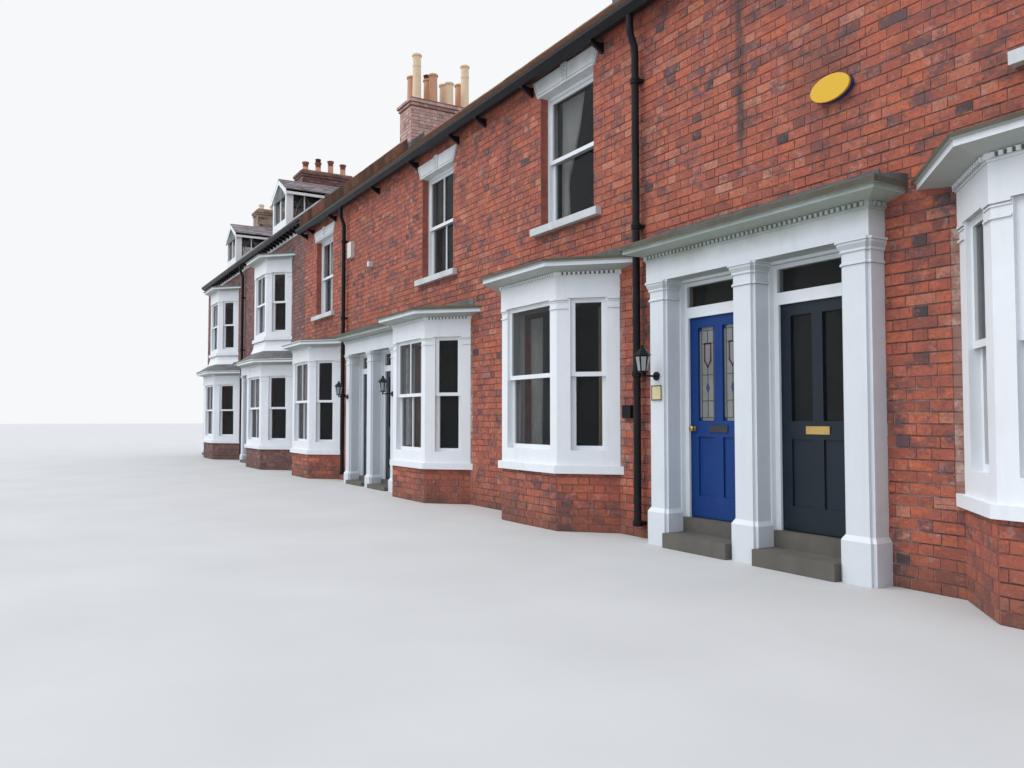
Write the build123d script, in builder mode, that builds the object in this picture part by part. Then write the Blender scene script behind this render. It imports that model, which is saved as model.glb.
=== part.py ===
"""A row of six terraced houses with canted bays, paired porches and dormers.

Units are millimetres. +X runs along the row towards house A, the front faces
-Y and +Z is up. The origin is under the middle of the row, on the ground.
In the functions below, a depth y is measured from the front wall's outer face.
"""
import functools
import math
import os

from build123d import *

# Widths of the houses between their party lines, from house A at +X to house F
WIDTH_A = 4845
WIDTH_B = 4845
WIDTH_C = 3960
WIDTH_D = 4620
WIDTH_E = 5650
WIDTH_F = 5650

# Walls
DEPTH = 5600
FRONT_WALL = 330
REAR_WALL = 230
PARTY_WALL = 230

# Levels above the ground; houses C and D stand lower in the row than A and B
DROP_CD = 130
GROUND_FLOOR = 270
GROUND_SLAB = 120
FIRST_FLOOR = 2850
FIRST_SLAB = 220
ATTIC_FLOOR = 5250
ATTIC_SLAB = 150
WALL_JOINT = 2516

# Roofs: height of the tiles over the front wall's face, slope and thickness
EAVES_AD = 5600
EAVES_EF = 5865
SLOPE = 0.85
TILE_DEPTH = 45
ROOF_DEPTH = 146
TILE_OVERHANG = 150
VERGE = 30
RIDGE_LEG = 130
RIDGE_THICK = 28

# Chimney stacks and pots; the stacks of houses E and F stand further forward
STACK_WIDTH = 690
STACK_SETBACK = 2460
STACK_LENGTH = 1750
STACK_TOP = 8880
EF_STACK_SETBACK = 1470
EF_STACK_LENGTH = 1530
EF_STACK_TOP = 8450
CORBEL_STEP = 32
CORBEL_COURSE = 75
FLAUNCHING = 60
NEAR_POTS = [1130, 725, 605, 1130]
FAR_POTS = [690, 710, 670, 760]
EF_POTS = [310, 350, 450, 400]
F_POTS = [220, 220, 220, 220]
POT_ROW = 160
POT_SIDES = 12
POT_RADIUS = 115
EF_POT_RADIUS = 92
POT_WALL = 22
POT_RIM = 50
POT_LIP = 8
POT_TAPER = 12

# Gutters and rainwater pipes
GUTTER_BACK = 115
GUTTER_WIDTH = 130
GUTTER_DEPTH = 105
GUTTER_FLOOR = 70
GUTTER_WALL = 6
GUTTER_LIP = 45
REAR_BRACKET_PITCH = 850
BRACKET_PITCH_EF = 300
BRACKET_FROM_WINDOW = 725
BRACKET_FROM_END = 150
BRACKET_WIDTH = 40
BRACKET_DEPTH_AD = 120
BRACKET_DEPTH_EF = 80
BRACKET_NOSE = 20
PIPE_SIDES = 10
PIPE_CLEARANCE = 80
PIPE_RADIUS = 38
PIPE_SETOUT = 85
PIPE_FOOT = 120
NECK_RISE = 330
COLLAR_RADIUS = 50
COLLAR_HEIGHT = 60
COLLAR_PITCH = 1500
EAR = 30
PIPE_FROM_BAY = 385

# Canted bays of houses A to D
BAY_HALF = 590
BAY_PROJECTION = 480
BAY_WALL = 150
PLINTH_TOP = 615
BAY_SILL = 85
BAY_SILL_REACH = 45
BAY_GLASS_LOW = 860
BAY_HEAD = 2490
BAY_FRIEZE = 2720
BAY_CORNICE_TOP = 2880
BAY_CORNICE_REACH = 240
BAY_ROOF_RISE = 60
BAY_POST = 130
BAY_CANT_POST = 150

# Cornices: how far each moulding stands out or up
ARCHITRAVE = 12
BEAD = 8
BEAD_HEIGHT = 14
DENTIL_BAND = 38
DENTIL_REACH = 30
CORONA = 38
CYMA = 25
CYMA_HEIGHT = 24
CYMA_LIP = 10

# Two-storey bays of houses E and F
EF_HALF = 730
EF_PROJECTION = 600
EF_PLINTH_TOP = 480
EF_GLASS_LOW = 690
EF_HEAD = 2200
EF_FRIEZE = 2430
EF_CORNICE_TOP = 2585
EF_CORNICE_REACH = 250
SKIRT_TOP = 2800
UPPER_HALF = 586
UPPER_PROJECTION = 474
UPPER_GLASS_LOW = 3260
UPPER_HEAD = 4680
UPPER_FRIEZE = 4960
UPPER_CORNICE_TOP = 5100
UPPER_CORNICE_REACH = 215
UPPER_FLARE = 70
UPPER_FLARE_MIDDLE = 20
UPPER_APRON = 3060
EF_POST = 190
UPPER_POST = 150

# Where the bays and windows stand, from the porch line of each pair, or from
# the nearer party line in houses E and F
BAY_FROM_PORCH_A = 2860
BAY_FROM_PORCH_B = 2975
BAY_FROM_PORCH_C = 2440
BAY_FROM_PORCH_D = 3130
BAY_FROM_PARTY_EF = 2060
DOOR_FROM_PARTY_EF = 1000
WINDOW_SHIFTS = [0, 80, -30, 20]

# Sash windows
SASH_RAIL = 48
SASH_DEPTH = 40
SASH_RECESS = 30
GLASS = 8
BAR = 22
WINDOW_WIDTH = 1090
WINDOW_SILL = 3520
WINDOW_HEAD = 5130
WINDOW_RECESS = 100
WINDOW_FRAME = 40
SASH_INSET = 10
REAR_RECESS = 60
SILL_THICK = 87
SILL_WIDTH = 1365
SILL_REACH = 80
SILL_BED = 120
LINTEL_HEIGHT = 225
LINTEL_BEARING = 37
LINTEL_FLARE = 110
LINTEL_REACH = 30

# Porches
PILASTER_WIDTH = 250
PILASTER_SPACING = 1100
PILASTER_REACH = 180
PILASTER_BASE_WIDTH = 300
PILASTER_BASE_REACH = 205
PILASTER_BASE_TOP = 310
PILASTER_STEP = 30
PILASTER_STEP_DEPTH = 25
BASE_MOULD = 40
CAPITAL_HEIGHT = 90
CAPITAL_FILLET = 18
CAPITAL_REACH = 25
CAPITAL_NIB = 10
ASTRAGAL_DROP = 190
ASTRAGAL = 10
PORCH_FRIEZE = 2720
PORCH_CORNICE_TOP = 2880
PORCH_CORNICE_REACH = 200
PORCH_ROOF_RISE = 70
LEAD_EDGE = 15

# Front doors and their frames
DOORWAY_WIDTH = 850
DOOR_TOP = 2160
DOOR_THICK = 45
DOOR_SETBACK = 80
DOOR_GAP = 6
DOOR_FOOT_GAP = 8
JAMB_WIDTH = 50
JAMB_SETBACK = 50
LINING = 15
STOP_WIDTH = 12
TRANSOM = 90
FANLIGHT_TOP = 2455
STILE = 105
BOTTOM_RAIL = 210
LOCK_RAIL = 150
LOCK_RAIL_HEIGHT = 760
PANEL_RECESS = 14
STEP_REACH = 260
KNOB_ROSE = 24
KNOB_PLATE = 6
KNOB_STEM = 9
KNOB_NECK = 32
KNOB_RADIUS = 27
KNOB_SHOULDER = 40
KNOB_CROWN = 52
KNOB_FACE = 14
KNOB_END = 62
PLATE_HALF = 115
PLATE_TALL = 64
PLATE_THICK = 8
HINGE_HEIGHTS = [150, 880, 1640]
HINGE_LENGTH = 100
HINGE_RADIUS = 7
HINGE_GAP = 0.5

# Dormers of houses E and F
DORMER_WIDTH = 1260
DORMER_SHIFT_E = 130
DORMER_SHIFT_F = 40
DORMER_EAVES = 6780
DORMER_APEX = 7190
DORMER_WALL = 90
DORMER_SILL = 6090
DORMER_HEAD = 6680
DORMER_ROOF = 60
DORMER_OVERHANG = 30
DORMER_EAVES_REACH = 80
DORMER_POST = 110
CHEEK_RAIL = 80

# Rear doors and windows, the same in each house
REAR_WINDOW_WIDTH = 1000
REAR_WINDOW_HEIGHT = 1500
REAR_SILL_HEIGHT = 850
REAR_DOOR_WIDTH = 850
REAR_DOOR_HEIGHT = 2050
REAR_SPACING = 1080
REAR_HEAD_STONE = 150

# Lanterns on the porches, and small boxes on the wall, each with its centre's
# distance from a party line and its height
LANTERN_HEIGHT = 1635
LANTERN_REACH = 175
LANTERN_ARM = 9
LANTERN_FOOT = 45
LANTERN_SHOULDER = 72
LANTERN_BODY = 165
LANTERN_EAVE = 88
LANTERN_ROOF = 70
LANTERN_CAP = 18
LANTERN_FINIAL = 26
ROSE_RADIUS = 42
ROSE_DEPTH = 18
ROSE_DROP = 30
DISC_FROM_AB = 825
DISC_HEIGHT = 3765
DISC_HALF_WIDTH = 180
DISC_HALF_HEIGHT = 102
DISC_DEPTH = 70
BELL_FROM_CD = -1385
BELL_HEIGHT = 4440
BELL_WIDTH = 210
BELL_TALL = 300
BELL_DEPTH = 80
SENSOR_FROM_CD = -335
SENSOR_HEIGHT = 4000
SENSOR_SIZE = 90
SWITCH_FROM_AB = -1730
SWITCH_HEIGHT = 1270
SWITCH_SIZE = 135
SWITCH_DEPTH = 60
NUMBER_HEIGHT = 1445
NUMBER_SIZE = 145
NUMBER_THICK = 10

ROW = WIDTH_A + WIDTH_B + WIDTH_C + WIDTH_D + WIDTH_E + WIDTH_F
FRONT_REACH = EF_PROJECTION + EF_CORNICE_REACH
REAR_REACH = GUTTER_BACK + GUTTER_WIDTH
FACE = -(DEPTH + REAR_REACH - FRONT_REACH) / 2
RIDGE = DEPTH / 2
DIAGONAL = math.sqrt(2)
CORNER = math.tan(math.radians(22.5))

# Party lines, each between two houses, and the two ends of the row
END_A = ROW / 2
LINE_AB = END_A - WIDTH_A
LINE_BC = LINE_AB - WIDTH_B
LINE_CD = LINE_BC - WIDTH_C
LINE_DE = LINE_CD - WIDTH_D
LINE_EF = LINE_DE - WIDTH_E
END_F = LINE_EF - WIDTH_F
LINES = [END_A, LINE_AB, LINE_BC, LINE_CD, LINE_DE, LINE_EF, END_F]
HALF_PARTY = PARTY_WALL / 2
ROOF_STEP = LINE_DE + HALF_PARTY

DOOR_A = LINE_AB + PILASTER_SPACING / 2
DOOR_B = LINE_AB - PILASTER_SPACING / 2
DOOR_C = LINE_CD + PILASTER_SPACING / 2
DOOR_D = LINE_CD - PILASTER_SPACING / 2
DOOR_E = LINE_EF + DOOR_FROM_PARTY_EF
DOOR_F = END_F + DOOR_FROM_PARTY_EF
BAY_A = LINE_AB + BAY_FROM_PORCH_A
BAY_B = LINE_AB - BAY_FROM_PORCH_B
BAY_C = LINE_CD + BAY_FROM_PORCH_C
BAY_D = LINE_CD - BAY_FROM_PORCH_D
BAY_E = LINE_DE - BAY_FROM_PARTY_EF
BAY_F = LINE_EF - BAY_FROM_PARTY_EF
PIPES_AD = [bay + BAY_HALF + BAY_PROJECTION + PIPE_FROM_BAY for bay in (BAY_B, BAY_D)]
PIPE_EF = LINE_EF - PARTY_WALL / 2
REAR_PIPES = [LINE_AB, LINE_CD]
REAR_PIPE_EF = LINE_EF
DROPS = [0, 0, DROP_CD, DROP_CD, DROP_CD, DROP_CD]
DOORS = [DOOR_A, DOOR_B, DOOR_C, DOOR_D, DOOR_E, DOOR_F]
BAYS_AD = [BAY_A, BAY_B, BAY_C, BAY_D]
BAYS_EF = [BAY_E, BAY_F]
DORMERS = [BAY_E - DORMER_SHIFT_E, BAY_F - DORMER_SHIFT_F]


def block(x0, x1, y0, y1, z0, z1, mode=Mode.ADD):
    """A box between two corners."""
    with Locations(((x0 + x1) / 2, FACE + (y0 + y1) / 2, (z0 + z1) / 2)):
        Box(abs(x1 - x0), abs(y1 - y0), abs(z1 - z0), mode=mode)


def along(points, x0, x1, mode=Mode.ADD):
    """A profile of depths and heights, run along the row from x0 to x1."""
    with BuildSketch(Plane.YZ.offset(min(x0, x1))) as profile:
        with BuildLine():
            Polyline(*[(FACE + y, z) for y, z in points], close=True)
        make_face()
    extrude(profile.sketch, amount=abs(x1 - x0), dir=(1, 0, 0), mode=mode)


def outline(points, height):
    """A face at a height, from a plan outline of x and depth."""
    with BuildSketch(Plane.XY.offset(height)) as plan:
        with BuildLine():
            Polyline(*[(x, FACE + y) for x, y in points], close=True)
        make_face()
    return plan.sketch


def upright(points, z0, z1, mode=Mode.ADD):
    """A plan outline of x and depth, raised from z0 to z1."""
    extrude(outline(points, z0), amount=z1 - z0, dir=(0, 0, 1), mode=mode)


def canted(x, half, projection, reach=0, back=0):
    """The plan of a canted bay, moved outwards by reach on its three sides."""
    front = half + reach * CORNER
    wide = half + projection + reach * DIAGONAL + back
    face = -projection - reach
    return [(x - wide, back), (x - front, face), (x + front, face), (x + wide, back)]


def straight(x0, x1, projection, reach=0, back=0):
    """The plan of a flat-fronted piece, moved outwards by reach on three sides."""
    front = -projection - reach
    return [(x0 - reach, back), (x0 - reach, front), (x1 + reach, front), (x1 + reach, back)]


def polygon(radius, sides, x=0, y=0):
    """The corners of a regular polygon around a point."""
    turns = [2 * math.pi * number / sides for number in range(sides)]
    return [(x + radius * math.cos(turn), y + radius * math.sin(turn)) for turn in turns]


def tapered(lower, z0, upper, z1, mode=Mode.ADD):
    """A solid with flat sides between two outlines that have as many corners."""
    foot = [Vector(x, y, z0) for x, y in lower]
    head = [Vector(x, y, z1) for x, y in upper]
    rings = [foot, head]
    rings += [[foot[corner - 1], foot[corner], head[corner], head[corner - 1]] for corner in range(len(foot))]
    add(Solid(Shell([Face(Wire.make_polygon(ring, close=True)) for ring in rings])), mode=mode)


def from_wall(points):
    """An outline measured from the wall's face, in the part's frame."""
    return [(x, FACE + y) for x, y in points]


def moulding(plan, profile, mode=Mode.ADD):
    """Stacked courses around a plan: profile lists (reach, height) from the bottom up."""
    for (reach0, z0), (reach1, z1) in zip(profile, profile[1:]):
        if z1 == z0:
            continue
        if reach0 == reach1:
            upright(plan(reach0), z0, z1, mode)
            continue
        tapered(from_wall(plan(reach0)), z0, from_wall(plan(reach1)), z1, mode)


def bay_planes(x, half, projection):
    """The front face and the two cants of a bay, each as a plane and a width."""
    cant = projection * DIAGONAL
    middle = half + projection / 2
    front = Plane(origin=(x, FACE - projection, 0), x_dir=(1, 0, 0), z_dir=(0, -1, 0))
    near = Plane(origin=(x + middle, FACE - projection / 2, 0), x_dir=(1, 1, 0), z_dir=(1, -1, 0))
    far = Plane(origin=(x - middle, FACE - projection / 2, 0), x_dir=(1, -1, 0), z_dir=(-1, -1, 0))
    return [(front, 2 * half), (near, cant), (far, cant)]


def on_plane(plane, x0, x1, z0, z1, near, far, mode=Mode.ADD):
    """A block on a wall plane, from the depth near to the depth far behind it."""
    with BuildSketch(plane.offset(-near)) as face:
        with Locations(((x0 + x1) / 2, (z0 + z1) / 2)):
            Rectangle(x1 - x0, z1 - z0)
    extrude(face.sketch, amount=far - near, dir=-plane.z_dir, mode=mode)


@functools.cache
def sash_pair(width, height, setback, bar):
    """An upper sash in front and a lower sash behind it, meeting at mid height."""
    middle = height / 2
    half = width / 2
    halves = [(middle - SASH_RAIL / 2, height, setback), (0, middle + SASH_RAIL / 2, setback + SASH_DEPTH)]
    with BuildPart() as pair:
        for low, high, near in halves:
            on_plane(Plane.XY, -half, half, low, high, near, near + SASH_DEPTH)
            on_plane(Plane.XY, SASH_RAIL - half, half - SASH_RAIL, low + SASH_RAIL, high - SASH_RAIL,
                     near, near + SASH_DEPTH, Mode.SUBTRACT)
            if bar:
                on_plane(Plane.XY, -BAR / 2, BAR / 2, low + SASH_RAIL, high - SASH_RAIL,
                         near, near + SASH_DEPTH / 2)
    return pair.part


def sashes(plane, width, z0, z1, setback, bar=False):
    """A pair of sashes on a wall plane, as a piece to add."""
    place = Plane(origin=plane.origin + Vector(0, 0, z0), x_dir=plane.x_dir, z_dir=plane.z_dir)
    return place.location * sash_pair(width, z1 - z0, setback, bar)


@functools.cache
def pane_pair(width, height, setback):
    """The two panes of a pair of sashes."""
    middle = height / 2
    half = width / 2 - SASH_RAIL
    halves = [(middle + SASH_RAIL / 2, height - SASH_RAIL, setback),
              (SASH_RAIL, middle - SASH_RAIL / 2, setback + SASH_DEPTH)]
    with BuildPart() as pair:
        for low, high, near in halves:
            on_plane(Plane.XY, -half, half, low, high, near + SASH_DEPTH / 2, near + SASH_DEPTH / 2 + GLASS)
    return pair.part


def panes(plane, width, z0, z1, setback, bar=False):
    """The panes of a pair of sashes on a wall plane, as a piece to add."""
    place = Plane(origin=plane.origin + Vector(0, 0, z0), x_dir=plane.x_dir, z_dir=plane.z_dir)
    return place.location * pane_pair(width, z1 - z0, setback)


def bay_opening(half, projection):
    """Half the width of the gap that a bay leaves in the front wall."""
    return half + projection - BAY_WALL * DIAGONAL


def under_roof(eaves, y):
    """Height of the rafters' underside at the depth y."""
    return eaves - ROOF_DEPTH + SLOPE * min(y, DEPTH - y)


def finish(builder, label):
    """Name a finished piece and write it."""
    builder.part.label = label
    export_step(builder.part, f"parts/{label}.step")


os.makedirs("parts", exist_ok=True)

# Each stack: its middle along the row, its front, its back and its top
STACKS = [(x, STACK_SETBACK, STACK_SETBACK + STACK_LENGTH, STACK_TOP)
          for x in (END_A - STACK_WIDTH / 2, LINE_BC, LINE_DE)]
STACKS += [(x, EF_STACK_SETBACK, EF_STACK_SETBACK + EF_STACK_LENGTH, EF_STACK_TOP)
           for x in (LINE_EF, END_F + STACK_WIDTH / 2)]


def cut_stacks():
    """Leave room for the chimney stacks, out to the verges at the row's ends."""
    for stack in STACKS:
        x, front, back, top = stack
        high = x + STACK_WIDTH / 2 + (VERGE if stack == STACKS[0] else 0)
        low = x - STACK_WIDTH / 2 - (VERGE if stack == STACKS[-1] else 0)
        block(low, high, front, back, ATTIC_FLOOR, top, Mode.SUBTRACT)


# Front wall, ground storey: piers between the bays and the doorways
gaps = [(x, bay_opening(BAY_HALF, BAY_PROJECTION)) for x in BAYS_AD]
gaps += [(x, bay_opening(EF_HALF, EF_PROJECTION)) for x in BAYS_EF]
gaps += [(x, DOORWAY_WIDTH / 2) for x in DOORS]
gaps.sort(reverse=True)
edges = [END_A]
for x, half in gaps:
    edges += [x + half, x - half]
edges.append(END_F)
with BuildPart() as front_wall_ground:
    for high, low in zip(edges[::2], edges[1::2]):
        block(low, high, 0, FRONT_WALL, 0, WALL_JOINT)
finish(front_wall_ground, "front_wall_ground")


def window_hole(x, sill, head):
    """Cut a window, its sill bed and its lintel bed through the front wall."""
    half = WINDOW_WIDTH / 2
    block(x - half, x + half, 0, FRONT_WALL, sill, head, Mode.SUBTRACT)
    block(x - SILL_WIDTH / 2, x + SILL_WIDTH / 2, 0, SILL_BED, sill - SILL_THICK, sill, Mode.SUBTRACT)
    lintel(x, head, 0, Mode.SUBTRACT)


def lintel(x, head, reach, mode=Mode.ADD):
    """A flared stone lintel over a window."""
    foot = WINDOW_WIDTH / 2 + LINTEL_BEARING
    top = foot + LINTEL_FLARE
    with BuildSketch(Plane.XZ.offset(reach - FACE)) as stone:
        with BuildLine():
            Polyline((x - foot, head), (x + foot, head), (x + top, head + LINTEL_HEIGHT),
                     (x - top, head + LINTEL_HEIGHT), close=True)
        make_face()
    extrude(stone.sketch, amount=reach + SILL_BED, dir=(0, 1, 0), mode=mode)


WINDOWS = [(x + shift, WINDOW_SILL - drop, WINDOW_HEAD - drop)
           for x, shift, drop in zip(BAYS_AD, WINDOW_SHIFTS, DROPS)]
with BuildPart() as front_wall_upper_a_d:
    wall = [(0, WALL_JOINT), (FRONT_WALL, WALL_JOINT), (FRONT_WALL, under_roof(EAVES_AD, FRONT_WALL)),
            (0, under_roof(EAVES_AD, 0))]
    along(wall, ROOF_STEP, END_A)
    for x, sill, head in WINDOWS:
        window_hole(x, sill, head)
finish(front_wall_upper_a_d, "front_wall_upper_a_d")

with BuildPart() as front_wall_upper_e_f:
    wall = [(0, WALL_JOINT), (FRONT_WALL, WALL_JOINT), (FRONT_WALL, under_roof(EAVES_EF, FRONT_WALL)),
            (0, under_roof(EAVES_EF, 0))]
    along(wall, END_F, ROOF_STEP)
    half = bay_opening(UPPER_HALF, UPPER_PROJECTION)
    for x in BAYS_EF:
        block(x - half, x + half, 0, FRONT_WALL, SKIRT_TOP, UPPER_HEAD, Mode.SUBTRACT)
finish(front_wall_upper_e_f, "front_wall_upper_e_f")


# Rear walls, a slab for each pair of houses with its doors and windows
def rear_places():
    """The middle of each house and its drop."""
    for high, low, drop in zip(LINES, LINES[1:], DROPS):
        yield (high + low) / 2, drop


def rear_windows():
    """Middle, sill and head of each rear window."""
    for x, drop in rear_places():
        ground = GROUND_FLOOR - drop + REAR_SILL_HEIGHT
        first = FIRST_FLOOR - drop + REAR_SILL_HEIGHT
        for place, sill in ((x + REAR_SPACING, ground), (x + REAR_SPACING, first), (x - REAR_SPACING, first)):
            yield place, sill, sill + REAR_WINDOW_HEIGHT


def rear_wall(label, high, low, eaves):
    """One length of the rear wall with its openings and stone beds."""
    with BuildPart() as wall:
        along([(DEPTH, 0), (DEPTH, under_roof(eaves, DEPTH)),
               (DEPTH - REAR_WALL, under_roof(eaves, DEPTH - REAR_WALL)), (DEPTH - REAR_WALL, 0)], low, high)
        half = REAR_WINDOW_WIDTH / 2
        for x, sill, head in rear_windows():
            if low < x < high:
                block(x - half, x + half, DEPTH - REAR_WALL, DEPTH, sill, head, Mode.SUBTRACT)
                rear_sill(x, sill, Mode.SUBTRACT)
                rear_lintel(x, head, Mode.SUBTRACT)
        for x, drop in rear_places():
            if low < x < high:
                rear_door(x - REAR_SPACING, GROUND_FLOOR - drop, REAR_WALL, Mode.SUBTRACT)
    finish(wall, label)


def rear_sill(x, sill, mode=Mode.ADD):
    """Stone sill of a rear window, or its bed in the wall."""
    half = REAR_WINDOW_WIDTH / 2 + SILL_THICK
    reach = 0 if mode == Mode.SUBTRACT else SILL_REACH / 2
    block(x - half, x + half, DEPTH - SILL_BED, DEPTH + reach, sill - SILL_THICK, sill, mode)


def rear_lintel(x, head, mode=Mode.ADD):
    """Stone lintel of a rear window, flush with the wall."""
    half = REAR_WINDOW_WIDTH / 2 + SILL_THICK
    block(x - half, x + half, DEPTH - SILL_BED, DEPTH, head, head + REAR_HEAD_STONE, mode)


def rear_door(x, floor, depth, mode=Mode.ADD):
    """A rear door leaf, or the hole for it down to the ground."""
    half = REAR_DOOR_WIDTH / 2
    foot = 0 if mode == Mode.SUBTRACT else floor
    back = DEPTH if mode == Mode.SUBTRACT else DEPTH - WINDOW_RECESS
    block(x - half, x + half, back - depth, back, foot, floor + REAR_DOOR_HEIGHT, mode)


rear_wall("rear_wall_a_b", END_A, LINE_BC, EAVES_AD)
rear_wall("rear_wall_c_d", LINE_BC, ROOF_STEP, EAVES_AD)
rear_wall("rear_wall_e_f", ROOF_STEP, END_F, EAVES_EF)


# Party walls and the two end walls, up to the rafters
def gable(low, high, eaves):
    """A cross wall between the front and rear walls, up to the roof."""
    back = DEPTH - REAR_WALL
    along([(FRONT_WALL, 0), (back, 0), (back, under_roof(eaves, back)), (RIDGE, under_roof(eaves, RIDGE)),
           (FRONT_WALL, under_roof(eaves, FRONT_WALL))], low, high)
    cut_stacks()


with BuildPart() as party_walls:
    for line, eaves in ((LINE_AB, EAVES_AD), (LINE_BC, EAVES_AD), (LINE_CD, EAVES_AD), (LINE_DE, EAVES_EF),
                        (LINE_EF, EAVES_EF)):
        gable(line - HALF_PARTY, line + HALF_PARTY, eaves)
finish(party_walls, "party_walls")

with BuildPart() as end_walls:
    gable(END_A - PARTY_WALL, END_A, EAVES_AD)
    gable(END_F, END_F + PARTY_WALL, EAVES_EF)
finish(end_walls, "end_walls")


# Floors, a slab in each house between its walls
def room(index):
    """The two side faces of a house's rooms, at +X and at -X."""
    high, low = LINES[index], LINES[index + 1]
    near = PARTY_WALL if index == 0 else HALF_PARTY
    far = PARTY_WALL if index == len(LINES) - 2 else HALF_PARTY
    return high - near, low + far


with BuildPart() as ground_floor:
    bays = [(x, BAY_HALF, BAY_PROJECTION) for x in BAYS_AD] + [(x, EF_HALF, EF_PROJECTION) for x in BAYS_EF]
    for index, (x, half, projection) in enumerate(bays):
        high, low = room(index)
        top = GROUND_FLOOR - DROPS[index]
        gap = bay_opening(half, projection)
        block(low, high, FRONT_WALL, DEPTH - REAR_WALL, top - GROUND_SLAB, top)
        block(x - gap, x + gap, 0, FRONT_WALL, top - GROUND_SLAB, top)
        upright(canted(x, half, projection, -BAY_WALL), top - GROUND_SLAB, top)
finish(ground_floor, "ground_floor")

with BuildPart() as first_floor:
    for index, drop in enumerate(DROPS):
        high, low = room(index)
        top = FIRST_FLOOR - drop
        block(low, high, FRONT_WALL, DEPTH - REAR_WALL, top - FIRST_SLAB, top)
finish(first_floor, "first_floor")

with BuildPart() as attic_floor:
    for index in range(len(DROPS)):
        high, low = room(index)
        block(low, high, FRONT_WALL, DEPTH - REAR_WALL, ATTIC_FLOOR - ATTIC_SLAB, ATTIC_FLOOR)
finish(attic_floor, "attic_floor")


# Roofs
def slope(eaves, back=False):
    """Profile of a roof slope: rafters over the walls and tiles over the gutter."""
    top = eaves + SLOPE * RIDGE
    tip = eaves - SLOPE * TILE_OVERHANG
    points = [(-TILE_OVERHANG, tip), (RIDGE, top), (RIDGE, top - ROOF_DEPTH), (0, eaves - ROOF_DEPTH),
              (0, eaves - TILE_DEPTH), (-TILE_OVERHANG, tip - TILE_DEPTH)]
    if back:
        points = [(DEPTH - y, z) for y, z in points]
    return points


def dormer_hole(x):
    """The gap in the roof inside a dormer."""
    half = DORMER_WIDTH / 2 - DORMER_WALL
    reach = (DORMER_EAVES - EAVES_EF) / SLOPE
    block(x - half, x + half, FRONT_WALL, reach - DORMER_WALL, ATTIC_FLOOR, DORMER_EAVES, Mode.SUBTRACT)


with BuildPart() as roof_front_a_d:
    along(slope(EAVES_AD), ROOF_STEP, END_A + VERGE)
    cut_stacks()
finish(roof_front_a_d, "roof_front_a_d")

with BuildPart() as roof_rear_a_d:
    along(slope(EAVES_AD, back=True), ROOF_STEP, END_A + VERGE)
    cut_stacks()
finish(roof_rear_a_d, "roof_rear_a_d")

with BuildPart() as roof_front_e_f:
    along(slope(EAVES_EF), END_F - VERGE, ROOF_STEP)
    cut_stacks()
    for x in DORMERS:
        dormer_hole(x)
finish(roof_front_e_f, "roof_front_e_f")

with BuildPart() as roof_rear_e_f:
    along(slope(EAVES_EF, back=True), END_F - VERGE, ROOF_STEP)
    cut_stacks()
finish(roof_rear_e_f, "roof_rear_e_f")

with BuildPart() as ridge_tiles:
    for eaves, low, high in ((EAVES_AD, ROOF_STEP, END_A + VERGE), (EAVES_EF, END_F - VERGE, ROOF_STEP)):
        top = eaves + SLOPE * RIDGE
        drop = SLOPE * RIDGE_LEG
        along([(RIDGE - RIDGE_LEG, top - drop), (RIDGE, top), (RIDGE + RIDGE_LEG, top - drop),
               (RIDGE + RIDGE_LEG, top - drop + RIDGE_THICK), (RIDGE, top + RIDGE_THICK),
               (RIDGE - RIDGE_LEG, top - drop + RIDGE_THICK)], low, high)
    cut_stacks()
finish(ridge_tiles, "ridge_tiles")

# Chimney stacks, standing on the party walls within the roof
with BuildPart() as chimney_stacks:
    for stack in STACKS:
        x, front, back, top = stack
        near, far = x + STACK_WIDTH / 2, x - STACK_WIDTH / 2
        block(far, near, front, back, ATTIC_FLOOR, top - 2 * CORBEL_COURSE)
        for course in (1, 2):
            step = course * CORBEL_STEP
            low = top - (3 - course) * CORBEL_COURSE
            side_a = 0 if stack == STACKS[0] else step
            side_f = 0 if stack == STACKS[-1] else step
            block(far - side_f, near + side_a, front - step, back + step, low, low + CORBEL_COURSE)
        block(far, near, front, back, top, top + FLAUNCHING)
finish(chimney_stacks, "chimney_stacks")


@functools.cache
def pot(height, radius):
    """A twelve-sided clay pot, drawn in towards a rolled rim, with its flue open."""
    shoulder = height - POT_RIM
    neck = radius - POT_TAPER
    with BuildPart() as thrown:
        tapered(polygon(radius, POT_SIDES), 0, polygon(neck, POT_SIDES), shoulder)
        with BuildSketch(Plane.XY.offset(shoulder)) as rim:
            RegularPolygon(radius + POT_LIP, POT_SIDES)
        extrude(rim.sketch, amount=POT_RIM)
        with BuildSketch(Plane.XY) as flue:
            RegularPolygon(neck - POT_WALL, POT_SIDES)
        extrude(flue.sketch, amount=height, mode=Mode.SUBTRACT)
    return thrown.part


# Two rows of pots on each tall stack, and one row on each stack of E and F
POT_ROWS = [(POT_ROW, NEAR_POTS), (-POT_ROW, FAR_POTS)]
pots = []
for stack in STACKS:
    x, front, back, top = stack
    rows = POT_ROWS
    radius = POT_RADIUS
    if top == EF_STACK_TOP:
        rows = [(0, F_POTS if stack == STACKS[-1] else EF_POTS)]
        radius = EF_POT_RADIUS
    for offset, heights in rows:
        pitch = (back - front) / len(heights)
        for place, height in enumerate(heights):
            y = FACE + front + (place + 0.5) * pitch
            pots.append(Pos(x + offset, y, top + FLAUNCHING) * pot(height, radius))
with BuildPart() as chimney_pots:
    add(pots)
finish(chimney_pots, "chimney_pots")


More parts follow.
